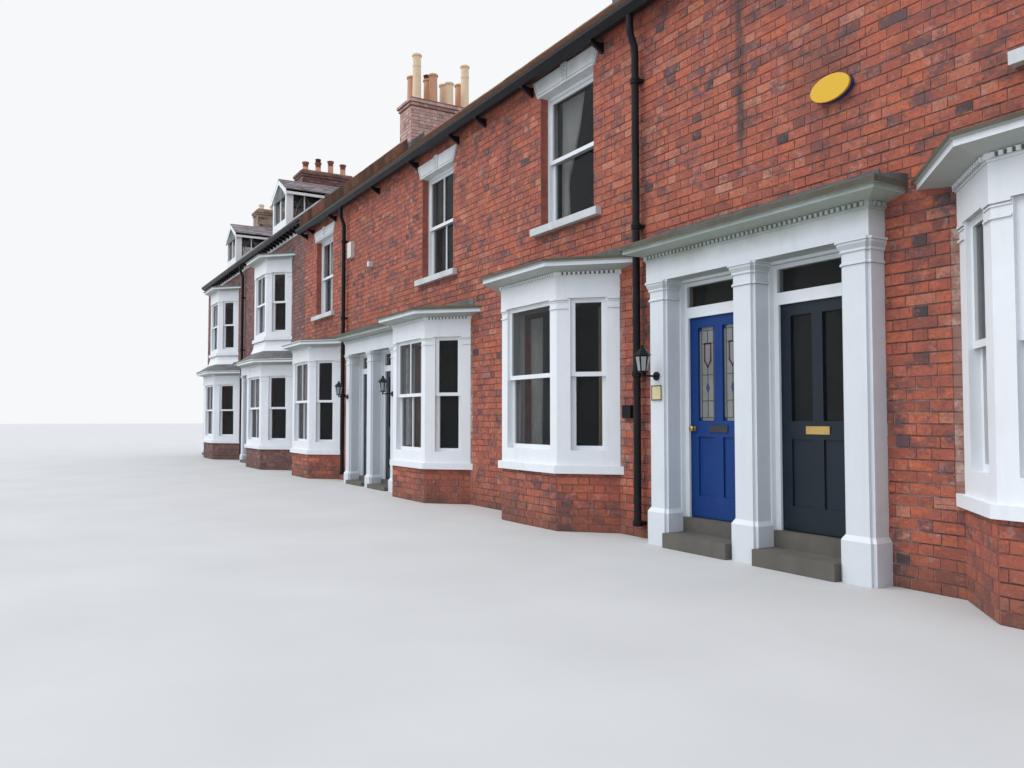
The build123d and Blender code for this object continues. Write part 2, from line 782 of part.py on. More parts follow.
# Gutters on their brackets
def gutter(eaves, low, high, back=False):
    """An open channel under the tiles' edge."""
    rim = eaves - SLOPE * TILE_OVERHANG - TILE_DEPTH - GUTTER_WALL
    floor = rim - GUTTER_DEPTH
    front = -GUTTER_BACK - GUTTER_WIDTH
    outer = [(-GUTTER_BACK, rim), (-GUTTER_BACK, floor), (-GUTTER_BACK - GUTTER_FLOOR, floor),
             (front, rim - GUTTER_LIP),
             (front, rim)]
    inner = [(-GUTTER_BACK - GUTTER_WALL, rim), (-GUTTER_BACK - GUTTER_WALL, floor + GUTTER_WALL),
             (-GUTTER_BACK - GUTTER_FLOOR, floor + GUTTER_WALL), (front + GUTTER_WALL, rim - GUTTER_LIP),
             (front + GUTTER_WALL, rim)]
    if back:
        outer = [(DEPTH - y, z) for y, z in outer]
        inner = [(DEPTH - y, z) for y, z in inner]
    along(outer, low, high)
    along(inner, low, high, Mode.SUBTRACT)
    return floor


def spaced(low, high, pitch):
    """Places at a pitch, in the middle of a run."""
    count = int((high - low) / pitch)
    start = low + (high - low - (count - 1) * pitch) / 2
    return [start + number * pitch for number in range(count)]


def brackets(floor, places, depth, back=False):
    """Iron brackets that carry a gutter, clear of the pipes."""
    pipes = REAR_PIPES + [REAR_PIPE_EF] if back else PIPES_AD + [PIPE_EF]
    tip = -GUTTER_BACK - GUTTER_FLOOR
    profile = [(0, floor), (tip, floor), (tip, floor - BRACKET_NOSE), (0, floor - depth)]
    if back:
        profile = [(DEPTH - y, z) for y, z in profile]
    clear = [x for x in places if all(abs(x - other) > PIPE_CLEARANCE for other in pipes)]
    with BuildPart() as bracket:
        along(profile, -BRACKET_WIDTH / 2, BRACKET_WIDTH / 2)
    return [Pos(x, 0, 0) * bracket.part for x in clear]


with BuildPart() as gutters:
    gutter(EAVES_AD, ROOF_STEP, END_A)
    gutter(EAVES_EF, END_F, ROOF_STEP)
    gutter(EAVES_AD, ROOF_STEP, END_A, back=True)
    gutter_floor_ad = EAVES_AD - SLOPE * TILE_OVERHANG - TILE_DEPTH - GUTTER_WALL - GUTTER_DEPTH
    gutter_floor_ef = gutter_floor_ad + EAVES_EF - EAVES_AD
    gutter(EAVES_EF, END_F, ROOF_STEP, back=True)
finish(gutters, "gutters")

front_places = [x + side * BRACKET_FROM_WINDOW for x, sill, head in WINDOWS for side in (-1, 1)]
front_places += [LINE_AB, LINE_BC, LINE_CD, END_A - BRACKET_FROM_END, ROOF_STEP + BRACKET_FROM_END]
iron = brackets(gutter_floor_ad, front_places, BRACKET_DEPTH_AD)
iron += brackets(gutter_floor_ef, spaced(END_F, ROOF_STEP, BRACKET_PITCH_EF), BRACKET_DEPTH_EF)
iron += brackets(gutter_floor_ad, spaced(ROOF_STEP, END_A, REAR_BRACKET_PITCH), BRACKET_DEPTH_EF, back=True)
iron += brackets(gutter_floor_ef, spaced(END_F, ROOF_STEP, REAR_BRACKET_PITCH), BRACKET_DEPTH_EF, back=True)
with BuildPart() as gutter_brackets:
    add(iron)
finish(gutter_brackets, "gutter_brackets")


# Bays: brick plinths, timber frames, sashes, glass, cornices and lead roofs
def cornice(plan, low, frieze, top, reach):
    """A frieze with its cornice above it, as one solid over the whole plan."""
    band = frieze + BEAD_HEIGHT
    cove = band + DENTIL_BAND
    corona = top - CYMA_LIP - CYMA_HEIGHT - CORONA
    bead = ARCHITRAVE + BEAD
    nose = reach - CYMA
    moulding(plan, [(ARCHITRAVE, low), (ARCHITRAVE, frieze), (bead, frieze), (bead, band),
                    (DENTIL_REACH, band), (DENTIL_REACH, cove), (nose - BEAD, corona),
                    (nose, corona), (nose, corona + CORONA),
                    (reach, top - CYMA_LIP), (reach, top)])


def ring(outer, inner, z0, z1):
    """A wall around a bay, open at the back."""
    upright(outer, z0, z1)
    upright(inner, z0, z1, Mode.SUBTRACT)


LOWER_BAYS = [(x, BAY_HALF, BAY_PROJECTION, drop, BAY_POST, BAY_CANT_POST) for x, drop in zip(BAYS_AD, DROPS)]
EF_BAYS = [(x, EF_HALF, EF_PROJECTION) for x in BAYS_EF]

with BuildPart() as bay_plinths:
    for x, half, projection, drop, _, _ in LOWER_BAYS:
        ring(canted(x, half, projection), canted(x, half, projection, -BAY_WALL), 0, PLINTH_TOP - drop)
    for x, half, projection in EF_BAYS:
        ring(canted(x, half, projection), canted(x, half, projection, -BAY_WALL), 0, EF_PLINTH_TOP)
finish(bay_plinths, "bay_plinths")


def bay_frame(x, half, projection, sill, low, head, front_post, cant_post):
    """Sill, panels and posts of a bay, with an opening in each of its three sides."""
    inner = canted(x, half, projection, -BAY_WALL)
    ring(canted(x, half, projection, BAY_SILL_REACH), inner, sill, sill + BAY_SILL)
    ring(canted(x, half, projection), inner, sill + BAY_SILL, head)
    for number, (plane, width) in enumerate(bay_planes(x, half, projection)):
        post = front_post if number == 0 else cant_post
        on_plane(plane, post - width / 2, width / 2 - post, low, head, -BAY_WALL, BAY_WALL, Mode.SUBTRACT)


def bay_lights(make):
    """Sashes or panes for the three openings of every bay, lower and upper."""
    bays = [(x, half, projection, BAY_GLASS_LOW - drop, BAY_HEAD - drop, post, cant_post, drop > 0)
            for x, half, projection, drop, post, cant_post in LOWER_BAYS]
    bays += [(x, EF_HALF, EF_PROJECTION, EF_GLASS_LOW, EF_HEAD, EF_POST, EF_POST, True) for x in BAYS_EF]
    bays += [(x, UPPER_HALF, UPPER_PROJECTION, UPPER_GLASS_LOW, UPPER_HEAD, UPPER_POST, UPPER_POST, True)
             for x in BAYS_EF]
    for x, half, projection, low, head, front_post, cant_post, bar in bays:
        for number, (plane, width) in enumerate(bay_planes(x, half, projection)):
            post = front_post if number == 0 else cant_post
            yield make(plane, width - 2 * post, low, head, SASH_RECESS, bar and number == 0)


with BuildPart() as bay_frames_a_d:
    for x, half, projection, drop, post, cant_post in LOWER_BAYS:
        bay_frame(x, half, projection, PLINTH_TOP - drop, BAY_GLASS_LOW - drop, BAY_HEAD - drop, post,
                  cant_post)
finish(bay_frames_a_d, "bay_frames_a_d")

with BuildPart() as bay_frames_e_f:
    for x, half, projection in EF_BAYS:
        bay_frame(x, half, projection, EF_PLINTH_TOP, EF_GLASS_LOW, EF_HEAD, EF_POST, EF_POST)
finish(bay_frames_e_f, "bay_frames_e_f")

with BuildPart() as bay_sashes:
    add(list(bay_lights(sashes)))
finish(bay_sashes, "bay_sashes")

with BuildPart() as bay_glass:
    add(list(bay_lights(panes)))
finish(bay_glass, "bay_glass")

with BuildPart() as bay_cornices:
    for x, half, projection, drop, _, _ in LOWER_BAYS:
        cornice(lambda reach: canted(x, half, projection, reach), BAY_HEAD - drop, BAY_FRIEZE - drop,
                BAY_CORNICE_TOP - drop, BAY_CORNICE_REACH)
    for x, half, projection in EF_BAYS:
        cornice(lambda reach: canted(x, half, projection, reach), EF_HEAD, EF_FRIEZE, EF_CORNICE_TOP,
                EF_CORNICE_REACH)
        cornice(lambda reach: canted(x, UPPER_HALF, UPPER_PROJECTION, reach), UPPER_HEAD, UPPER_FRIEZE,
                UPPER_CORNICE_TOP, UPPER_CORNICE_REACH)
finish(bay_cornices, "bay_cornices")

with BuildPart() as bay_roofs:
    for x, half, projection, drop, _, _ in LOWER_BAYS:
        top = BAY_CORNICE_TOP - drop
        moulding(lambda reach: canted(x, half, projection, reach),
                 [(BAY_CORNICE_REACH, top), (0, top + BAY_ROOF_RISE)])
    for x, half, projection in EF_BAYS:
        moulding(lambda reach: canted(x, UPPER_HALF, UPPER_PROJECTION, reach),
                 [(UPPER_CORNICE_REACH, UPPER_CORNICE_TOP), (0, UPPER_CORNICE_TOP + BAY_ROOF_RISE)])
finish(bay_roofs, "bay_roofs")

# Skirts between the two storeys of the bays of houses E and F
with BuildPart() as bay_skirts:
    for x, half, projection in EF_BAYS:
        tapered(from_wall(canted(x, half, projection, EF_CORNICE_REACH)), EF_CORNICE_TOP,
                from_wall(canted(x, UPPER_HALF, UPPER_PROJECTION, UPPER_FLARE)), SKIRT_TOP)
finish(bay_skirts, "bay_skirts")

with BuildPart() as upper_bay_frames:
    for x, half, projection in EF_BAYS:
        inner = canted(x, UPPER_HALF, UPPER_PROJECTION, -BAY_WALL)
        middle = (SKIRT_TOP + UPPER_APRON) / 2
        moulding(lambda reach: canted(x, UPPER_HALF, UPPER_PROJECTION, reach),
                 [(UPPER_FLARE, SKIRT_TOP), (UPPER_FLARE_MIDDLE, middle), (0, UPPER_APRON)])
        upright(inner, SKIRT_TOP, UPPER_APRON, Mode.SUBTRACT)
        bay_frame(x, UPPER_HALF, UPPER_PROJECTION, UPPER_APRON, UPPER_GLASS_LOW, UPPER_HEAD, UPPER_POST,
                  UPPER_POST)
finish(upper_bay_frames, "upper_bay_frames")


# Upper windows of houses A to D
def front_plane(x):
    """The front wall's face at x."""
    return Plane(origin=(x, FACE, 0), x_dir=(1, 0, 0), z_dir=(0, -1, 0))


def rear_plane(x):
    """The rear wall's face at x."""
    return Plane(origin=(x, FACE + DEPTH, 0), x_dir=(-1, 0, 0), z_dir=(0, 1, 0))


def window_frame(plane, width, z0, z1, recess):
    """A box frame set in an opening."""
    half = width / 2
    depth = recess + 2 * SASH_DEPTH + WINDOW_FRAME
    on_plane(plane, -half, half, z0, z1, recess, depth)
    light = half - WINDOW_FRAME
    on_plane(plane, -light, light, z0 + WINDOW_FRAME, z1 - WINDOW_FRAME, recess, depth,
             Mode.SUBTRACT)


with BuildPart() as window_frames:
    for x, sill, head in WINDOWS:
        window_frame(front_plane(x), WINDOW_WIDTH, sill, head, WINDOW_RECESS)
finish(window_frames, "window_frames")

with BuildPart() as rear_frames:
    for x, sill, head in rear_windows():
        window_frame(rear_plane(x), REAR_WINDOW_WIDTH, sill, head, REAR_RECESS)
finish(rear_frames, "rear_window_frames")

def front_lights(make):
    """Sashes or panes of the upper windows."""
    for number, (x, sill, head) in enumerate(WINDOWS):
        yield make(front_plane(x), WINDOW_WIDTH - 2 * WINDOW_FRAME, sill + WINDOW_FRAME, head - WINDOW_FRAME,
                   WINDOW_RECESS + SASH_INSET, number > 1)


def rear_lights(make):
    """Sashes or panes of the rear windows."""
    for x, sill, head in rear_windows():
        yield make(rear_plane(x), REAR_WINDOW_WIDTH - 2 * WINDOW_FRAME, sill + WINDOW_FRAME,
                   head - WINDOW_FRAME,
                   REAR_RECESS + SASH_INSET)


with BuildPart() as window_sashes:
    add(list(front_lights(sashes)) + list(rear_lights(sashes)))
finish(window_sashes, "window_sashes")

with BuildPart() as window_glass:
    add(list(front_lights(panes)) + list(rear_lights(panes)))
finish(window_glass, "window_glass")

with BuildPart() as window_sills:
    for x, sill, head in WINDOWS:
        block(x - SILL_WIDTH / 2, x + SILL_WIDTH / 2, -SILL_REACH, SILL_BED, sill - SILL_THICK, sill)
    for x, sill, head in rear_windows():
        rear_sill(x, sill)
finish(window_sills, "window_sills")

with BuildPart() as window_lintels:
    for x, sill, head in WINDOWS:
        lintel(x, head, LINTEL_REACH)
    for x, sill, head in rear_windows():
        rear_lintel(x, head)
finish(window_lintels, "window_lintels")

# Rear doors on their thresholds
with BuildPart() as rear_doors:
    for x, drop in rear_places():
        rear_door(x - REAR_SPACING, GROUND_FLOOR - drop, DOOR_THICK)
        middle = x - REAR_SPACING
        block(middle - REAR_DOOR_WIDTH / 2, middle + REAR_DOOR_WIDTH / 2, DEPTH - REAR_WALL, DEPTH,
              0, GROUND_FLOOR - drop)
finish(rear_doors, "rear_doors")


# Porches: pilasters on base blocks, carrying a frieze and a cornice
def porch(places, drop):
    """Pilasters at the given places under one entablature."""
    beam = WALL_JOINT - drop
    half = PILASTER_WIDTH / 2
    steps = [(0, PILASTER_STEP_DEPTH), (PILASTER_STEP, 0)]
    abacus = CAPITAL_REACH + CAPITAL_NIB
    for x in places:
        for inset, depth in steps:
            base = PILASTER_BASE_WIDTH / 2 - inset
            block(x - base, x + base, depth - PILASTER_BASE_REACH, 0, 0, PILASTER_BASE_TOP - drop)
            shaft = half - inset
            reach = PILASTER_REACH - depth
            block(x - shaft, x + shaft, -reach, 0, PILASTER_BASE_TOP - drop, beam)
            foot = PILASTER_BASE_TOP - drop
            rise = beam - CAPITAL_HEIGHT
            collar = beam - ASTRAGAL_DROP
            plan = functools.partial(straight, x - shaft, x + shaft, reach)
            moulding(plan, [(PILASTER_BASE_REACH - PILASTER_REACH, foot), (0, foot + BASE_MOULD)])
            moulding(plan, [(0, collar), (ASTRAGAL, collar + ASTRAGAL / 2), (ASTRAGAL, collar + 2 * ASTRAGAL),
                            (0, collar + 3 * ASTRAGAL)])
            moulding(plan, [(CAPITAL_NIB, rise), (CAPITAL_NIB, rise + CAPITAL_FILLET),
                            (CAPITAL_REACH, beam - 2 * CAPITAL_FILLET),
                            (CAPITAL_REACH, beam - CAPITAL_FILLET),
                            (abacus, beam - CAPITAL_FILLET), (abacus, beam)])
    cornice(lambda reach: straight(min(places) - half, max(places) + half, PILASTER_REACH, reach), beam,
            PORCH_FRIEZE - drop, PORCH_CORNICE_TOP - drop, PORCH_CORNICE_REACH)


def porch_roof(places, drop):
    """A lead flat over a porch, falling to the front."""
    half = PILASTER_WIDTH / 2 + PORCH_CORNICE_REACH
    low = PORCH_CORNICE_TOP - drop
    front = -PILASTER_REACH - PORCH_CORNICE_REACH
    along([(0, low), (0, low + PORCH_ROOF_RISE), (front, low + LEAD_EDGE), (front, low)],
          min(places) - half, max(places) + half)


PORCHES = [("porch_a_b", [LINE_AB - PILASTER_SPACING, LINE_AB, LINE_AB + PILASTER_SPACING], 0),
           ("porch_c_d", [LINE_CD - PILASTER_SPACING, LINE_CD, LINE_CD + PILASTER_SPACING], DROP_CD),
           ("porches_e_f", [DOOR_E - PILASTER_SPACING / 2, DOOR_E + PILASTER_SPACING / 2], DROP_CD),
           ("porches_e_f", [DOOR_F - PILASTER_SPACING / 2, DOOR_F + PILASTER_SPACING / 2], DROP_CD)]


def bay_corner():
    """Cut away what runs into the cornice and roof of bay C."""
    moulding(lambda reach: canted(BAY_C, BAY_HALF, BAY_PROJECTION, reach),
             [(ARCHITRAVE, BAY_HEAD - DROP_CD), (BAY_CORNICE_REACH, BAY_FRIEZE - DROP_CD),
              (BAY_CORNICE_REACH, BAY_CORNICE_TOP - DROP_CD + BAY_ROOF_RISE)], Mode.SUBTRACT)


for label in ("porch_a_b", "porch_c_d", "porches_e_f"):
    with BuildPart() as surround:
        for name, places, drop in PORCHES:
            if name == label:
                porch(places, drop)
        if label == "porch_c_d":
            bay_corner()
    finish(surround, label)

with BuildPart() as porch_roofs:
    for label, places, drop in PORCHES:
        porch_roof(places, drop)
    bay_corner()
finish(porch_roofs, "porch_roofs")


# Doorways: frames, fanlights, thresholds and leaves
def door_frame(x, drop):
    """Jambs, transom and head, with a stop that the leaf closes against."""
    half = DOORWAY_WIDTH / 2
    floor = GROUND_FLOOR - drop
    back = DOOR_SETBACK + DOOR_THICK
    top = DOOR_TOP - drop + DOOR_GAP
    light = FANLIGHT_TOP - drop
    inner = half - JAMB_WIDTH
    stop = inner - STOP_WIDTH
    block(x - half, x + half, 0, back, floor, WALL_JOINT)
    block(x - half + LINING, x + half - LINING, 0, JAMB_SETBACK, floor, light + JAMB_WIDTH - LINING,
          Mode.SUBTRACT)
    block(x - stop, x + stop, JAMB_SETBACK, back, floor, top - STOP_WIDTH, Mode.SUBTRACT)
    block(x - inner, x + inner, DOOR_SETBACK - DOOR_GAP, back, floor, top, Mode.SUBTRACT)
    block(x - inner, x + inner, JAMB_SETBACK, back, top + TRANSOM, light, Mode.SUBTRACT)


with BuildPart() as door_frames:
    for x, drop in zip(DOORS, DROPS):
        door_frame(x, drop)
finish(door_frames, "door_frames")

with BuildPart() as door_steps:
    for x, drop in zip(DOORS, DROPS):
        floor = GROUND_FLOOR - drop
        half = DOORWAY_WIDTH / 2
        outer = (PILASTER_SPACING - PILASTER_BASE_WIDTH) / 2
        block(x - half, x + half, 0, FRONT_WALL, 0, floor)
        block(x - outer, x + outer, -STEP_REACH, 0, 0, floor / 2)
finish(door_steps, "door_steps")

LEAF_HALF = DOORWAY_WIDTH / 2 - JAMB_WIDTH - DOOR_GAP


def leaf_panels(x, drop):
    """Left and right edge, foot and head of the four panels of a leaf."""
    floor = GROUND_FLOOR - drop
    for side in (-1, 1):
        near, far = x + side * STILE / 2, x + side * (LEAF_HALF - STILE)
        yield min(near, far), max(near, far), floor + BOTTOM_RAIL, floor + LOCK_RAIL_HEIGHT, False
        rail = floor + LOCK_RAIL_HEIGHT + LOCK_RAIL
        yield (min(near, far), max(near, far), rail, DOOR_TOP - drop - STILE, True)


def leaf(x, drop, gap=0):
    """A panelled leaf, glazed in its upper half."""
    floor = GROUND_FLOOR - drop
    half = LEAF_HALF + gap
    back = DOOR_SETBACK + DOOR_THICK
    foot = floor + DOOR_FOOT_GAP - min(gap, DOOR_FOOT_GAP)
    block(x - half, x + half, DOOR_SETBACK, back, foot, DOOR_TOP - drop + gap)
    for low, high, foot, head, glazed in leaf_panels(x, drop):
        depth = back if glazed else DOOR_SETBACK + PANEL_RECESS
        block(low, high, DOOR_SETBACK, depth, foot, head, Mode.SUBTRACT)


def leaf_glass(x, drop):
    """The two panes of a leaf."""
    middle = DOOR_SETBACK + DOOR_THICK / 2
    for low, high, foot, head, glazed in leaf_panels(x, drop):
        if glazed:
            block(low, high, middle, middle + GLASS, foot, head)


def letter_plate(x, floor):
    """The plate of a letter slot on the lock rail."""
    height = floor + LOCK_RAIL_HEIGHT + LOCK_RAIL / 2
    block(x - PLATE_HALF, x + PLATE_HALF, DOOR_SETBACK - PLATE_THICK, DOOR_SETBACK,
          height - PLATE_TALL / 2, height + PLATE_TALL / 2)


def knob(x, floor):
    """A turned door knob on its stem."""
    height = floor + LOCK_RAIL_HEIGHT + LOCK_RAIL / 2
    with BuildSketch(Plane.XY) as section:
        with BuildLine():
            Polyline((0, 0), (KNOB_ROSE, 0), (KNOB_ROSE, KNOB_PLATE), (KNOB_STEM, KNOB_PLATE),
                     (KNOB_STEM, KNOB_NECK), (KNOB_RADIUS, KNOB_SHOULDER), (KNOB_RADIUS, KNOB_CROWN),
                     (KNOB_FACE, KNOB_END), (0, KNOB_END), close=True)
        make_face()
    turned = revolve(section.sketch, axis=Axis.Y, mode=Mode.PRIVATE)
    with Locations(Location((x, FACE + DOOR_SETBACK, height), (180, 0, 0))):
        add(turned)


with BuildPart() as door_a:
    leaf(DOOR_A, 0)
finish(door_a, "door_a")

with BuildPart() as door_b:
    leaf(DOOR_B, 0)
finish(door_b, "door_b")

with BuildPart() as door_a_glass:
    leaf_glass(DOOR_A, 0)
finish(door_a_glass, "door_a_glass")

with BuildPart() as door_b_glass:
    leaf_glass(DOOR_B, 0)
finish(door_b_glass, "door_b_glass")

with BuildPart() as door_a_fittings:
    letter_plate(DOOR_A, GROUND_FLOOR)
    knob(DOOR_A + LEAF_HALF - STILE / 2, GROUND_FLOOR)
finish(door_a_fittings, "door_a_fittings")

with BuildPart() as door_b_fittings:
    letter_plate(DOOR_B, GROUND_FLOOR)
    knob(DOOR_B - LEAF_HALF + STILE / 2, GROUND_FLOOR)
finish(door_b_fittings, "door_b_fittings")

with BuildPart() as doors_c_f:
    for x, drop in list(zip(DOORS, DROPS))[2:]:
        leaf(x, drop, DOOR_GAP)
finish(doors_c_f, "doors_c_f")

with BuildPart() as fanlights:
    for x, drop in zip(DOORS, DROPS):
        inner = DOORWAY_WIDTH / 2 - JAMB_WIDTH
        block(x - inner, x + inner, DOOR_SETBACK, DOOR_SETBACK + GLASS, DOOR_TOP - drop + DOOR_GAP + TRANSOM,
              FANLIGHT_TOP - drop)
    for x, drop in list(zip(DOORS, DROPS))[2:]:
        leaf_glass(x, drop)
finish(fanlights, "fanlights")


# Butt hinges of doors A and B, beside the party wall
def hinge(edge, side):
    """Three butts in the gap at a leaf's edge; side points from the leaf to its jamb."""
    back = DOOR_SETBACK + DOOR_THICK
    pin = edge + side * DOOR_GAP / 2
    for height in HINGE_HEIGHTS:
        z0, z1 = GROUND_FLOOR + height, GROUND_FLOOR + height + HINGE_LENGTH
        sides = sorted((edge + side * HINGE_GAP, edge + side * DOOR_GAP))
        block(*sides, DOOR_SETBACK, back + HINGE_RADIUS, z0, z1)
        with Locations((pin, FACE + back + HINGE_RADIUS, (z0 + z1) / 2)):
            Cylinder(HINGE_RADIUS, HINGE_LENGTH)


with BuildPart() as door_hinges:
    hinge(DOOR_A - LEAF_HALF, -1)
    hinge(DOOR_B + LEAF_HALF, 1)
finish(door_hinges, "door_hinges")


# Dormers of houses E and F
def across(points, y0, y1, mode=Mode.ADD):
    """A profile of x and height, run from the depth y0 to the depth y1."""
    with BuildSketch(Plane.XZ.offset(-FACE - y0)) as profile:
        with BuildLine():
            Polyline(*points, close=True)
        make_face()
    extrude(profile.sketch, amount=y1 - y0, dir=(0, 1, 0), mode=mode)


def under_tiles(x):
    """Cut away what lies below the main roof's tiles."""
    along([(-DEPTH, EAVES_EF - SLOPE * DEPTH), (RIDGE, EAVES_EF + SLOPE * RIDGE), (RIDGE, 0), (-DEPTH, 0)],
          x - DORMER_WIDTH, x + DORMER_WIDTH, Mode.SUBTRACT)


DORMER_RISE = DORMER_APEX - DORMER_EAVES - DORMER_ROOF
DORMER_SLOPE = 2 * DORMER_RISE / DORMER_WIDTH


def pentagon(x, half):
    """A dormer's outline below its roof, half wide at each side."""
    side = DORMER_EAVES + DORMER_SLOPE * (DORMER_WIDTH / 2 - half)
    return [(x - half, EAVES_EF - DORMER_WALL), (x + half, EAVES_EF - DORMER_WALL), (x + half, side),
            (x, DORMER_EAVES + DORMER_RISE), (x - half, side)]


def dormer_window(x, mode, near, far):
    """The front opening of a dormer, or its pane."""
    half = DORMER_WIDTH / 2 - DORMER_POST
    block(x - half, x + half, near, far, DORMER_SILL, DORMER_HEAD, mode)


def dormer_side_light(x, side, mode, near, far):
    """The raking light in a dormer's cheek, or its pane."""
    foot = EAVES_EF + CHEEK_RAIL
    top = DORMER_EAVES - CHEEK_RAIL
    front = DORMER_WALL + CHEEK_RAIL
    points = [(front, foot + SLOPE * front), ((top - foot) / SLOPE, top), (front, top)]
    outer = x + side * DORMER_WIDTH / 2
    low, high = sorted((outer - side * near, outer - side * far))
    along(points, low, high, mode)


with BuildPart() as dormer_walls:
    for x in DORMERS:
        across(pentagon(x, DORMER_WIDTH / 2), 0, RIDGE)
        across(pentagon(x, DORMER_WIDTH / 2 - DORMER_WALL), DORMER_WALL, RIDGE, Mode.SUBTRACT)
        under_tiles(x)
        dormer_window(x, Mode.SUBTRACT, 0, DORMER_WALL)
        for side in (-1, 1):
            dormer_side_light(x, side, Mode.SUBTRACT, 0, DORMER_WALL)
finish(dormer_walls, "dormer_walls")

with BuildPart() as dormer_roofs:
    for x in DORMERS:
        half = DORMER_WIDTH / 2 + DORMER_EAVES_REACH
        tip = DORMER_EAVES - DORMER_SLOPE * DORMER_EAVES_REACH
        apex = DORMER_EAVES + DORMER_RISE
        across([(x - half, tip), (x, apex), (x + half, tip), (x + half, tip + DORMER_ROOF),
                (x, apex + DORMER_ROOF), (x - half, tip + DORMER_ROOF)], -DORMER_OVERHANG, RIDGE)
        under_tiles(x)
finish(dormer_roofs, "dormer_roofs")

with BuildPart() as dormer_glass:
    for x in DORMERS:
        dormer_window(x, Mode.ADD, DORMER_WALL / 2, DORMER_WALL / 2 + GLASS)
        for side in (-1, 1):
            dormer_side_light(x, side, Mode.ADD, DORMER_WALL / 2, DORMER_WALL / 2 + GLASS)
finish(dormer_glass, "dormer_glass")


# Rainwater pipes
def pipe(x, gutter_floor, back=False):
    """A round pipe with a swan neck, on eared collars, as a piece to add."""
    outlet = GUTTER_BACK + PIPE_RADIUS
    face = DEPTH if back else 0
    out = 1 if back else -1
    wall = FACE + face + out * PIPE_SETOUT
    under = FACE + face + out * outlet
    count = int((gutter_floor - NECK_RISE - PIPE_FOOT) / COLLAR_PITCH) + 1
    bend = gutter_floor - NECK_RISE
    with BuildPart() as run:
        with BuildLine() as route:
            Polyline((x, wall, PIPE_FOOT), (x, wall, bend), (x, under, bend + NECK_RISE / 2),
                     (x, under, gutter_floor))
        with BuildSketch(Plane.XY.offset(PIPE_FOOT)) as section:
            with Locations((x, wall)):
                RegularPolygon(PIPE_RADIUS, PIPE_SIDES)
        sweep(section.sketch, path=route.line, transition=Transition.RIGHT)
        for number in range(count):
            low = PIPE_FOOT + number * COLLAR_PITCH
            with BuildSketch(Plane.XY.offset(low)) as collar:
                with Locations((x, wall)):
                    RegularPolygon(COLLAR_RADIUS, PIPE_SIDES)
            extrude(collar.sketch, amount=COLLAR_HEIGHT)
            height = low + COLLAR_HEIGHT / 2
            block(x - COLLAR_RADIUS, x + COLLAR_RADIUS, face, face + out * PIPE_SETOUT,
                  height - EAR / 2, height + EAR / 2)
    return run.part


pipes = [pipe(x, gutter_floor_ad) for x in PIPES_AD] + [pipe(PIPE_EF, gutter_floor_ef)]
pipes += [pipe(x, gutter_floor_ad, back=True) for x in REAR_PIPES]
pipes += [pipe(REAR_PIPE_EF, gutter_floor_ef, back=True)]
with BuildPart() as downpipes:
    add(pipes)
finish(downpipes, "downpipes")


# Lanterns on the outer pilasters, and the small things fixed to the wall
@functools.cache
def lantern():
    """A tapered hexagonal lantern on a bracket, its rose against a face at y = 0."""
    with BuildPart() as lamp:
        with BuildSketch(Plane.XZ) as rose:
            with Locations((0, -ROSE_DROP)):
                RegularPolygon(ROSE_RADIUS, POT_SIDES)
        extrude(rose.sketch, amount=ROSE_DEPTH)
        with Locations((0, -LANTERN_REACH / 2, -ROSE_DROP)):
            Box(2 * LANTERN_ARM, LANTERN_REACH, 2 * LANTERN_ARM)
        with Locations((0, -LANTERN_REACH, -ROSE_DROP / 2)):
            Box(2 * LANTERN_ARM, 2 * LANTERN_ARM, ROSE_DROP + 2 * LANTERN_ARM)
        cap = LANTERN_BODY + LANTERN_ROOF
        sizes = [(LANTERN_FOOT, 0), (LANTERN_SHOULDER, LANTERN_BODY), (LANTERN_EAVE, LANTERN_BODY),
                 (LANTERN_CAP, cap), (LANTERN_CAP, cap + LANTERN_FINIAL)]
        for (low, z0), (high, z1) in zip(sizes, sizes[1:]):
            if z0 == z1:
                continue
            tapered(polygon(low, 6, 0, -LANTERN_REACH), z0, polygon(high, 6, 0, -LANTERN_REACH), z1)
    return lamp.part


LANTERN_PLACES = [(LINE_AB - PILASTER_SPACING, 0), (LINE_CD + PILASTER_SPACING, 0),
                  (LINE_CD - PILASTER_SPACING, 0)]
with BuildPart() as lanterns:
    add([Pos(x, FACE - PILASTER_REACH, LANTERN_HEIGHT - drop) * lantern() for x, drop in LANTERN_PLACES])
    x = LINE_AB + SWITCH_FROM_AB
    block(x - SWITCH_SIZE / 2, x + SWITCH_SIZE / 2, -SWITCH_DEPTH, 0, SWITCH_HEIGHT - SWITCH_SIZE / 2,
          SWITCH_HEIGHT + SWITCH_SIZE / 2)
finish(lanterns, "lanterns")

with BuildPart() as alarm_disc:
    with BuildSketch(Plane.XZ.offset(-FACE)) as face:
        with Locations((LINE_AB + DISC_FROM_AB, DISC_HEIGHT)):
            Ellipse(DISC_HALF_WIDTH, DISC_HALF_HEIGHT)
    extrude(face.sketch, amount=DISC_DEPTH, dir=(0, -1, 0))
finish(alarm_disc, "alarm_disc")

with BuildPart() as wall_boxes:
    x = LINE_CD + BELL_FROM_CD
    block(x - BELL_WIDTH / 2, x + BELL_WIDTH / 2, -BELL_DEPTH, 0, BELL_HEIGHT - BELL_TALL / 2,
          BELL_HEIGHT + BELL_TALL / 2)
    x = LINE_CD + SENSOR_FROM_CD
    block(x - SENSOR_SIZE / 2, x + SENSOR_SIZE / 2, -SENSOR_SIZE, 0, SENSOR_HEIGHT - SENSOR_SIZE / 2,
          SENSOR_HEIGHT + SENSOR_SIZE / 2)
finish(wall_boxes, "wall_boxes")

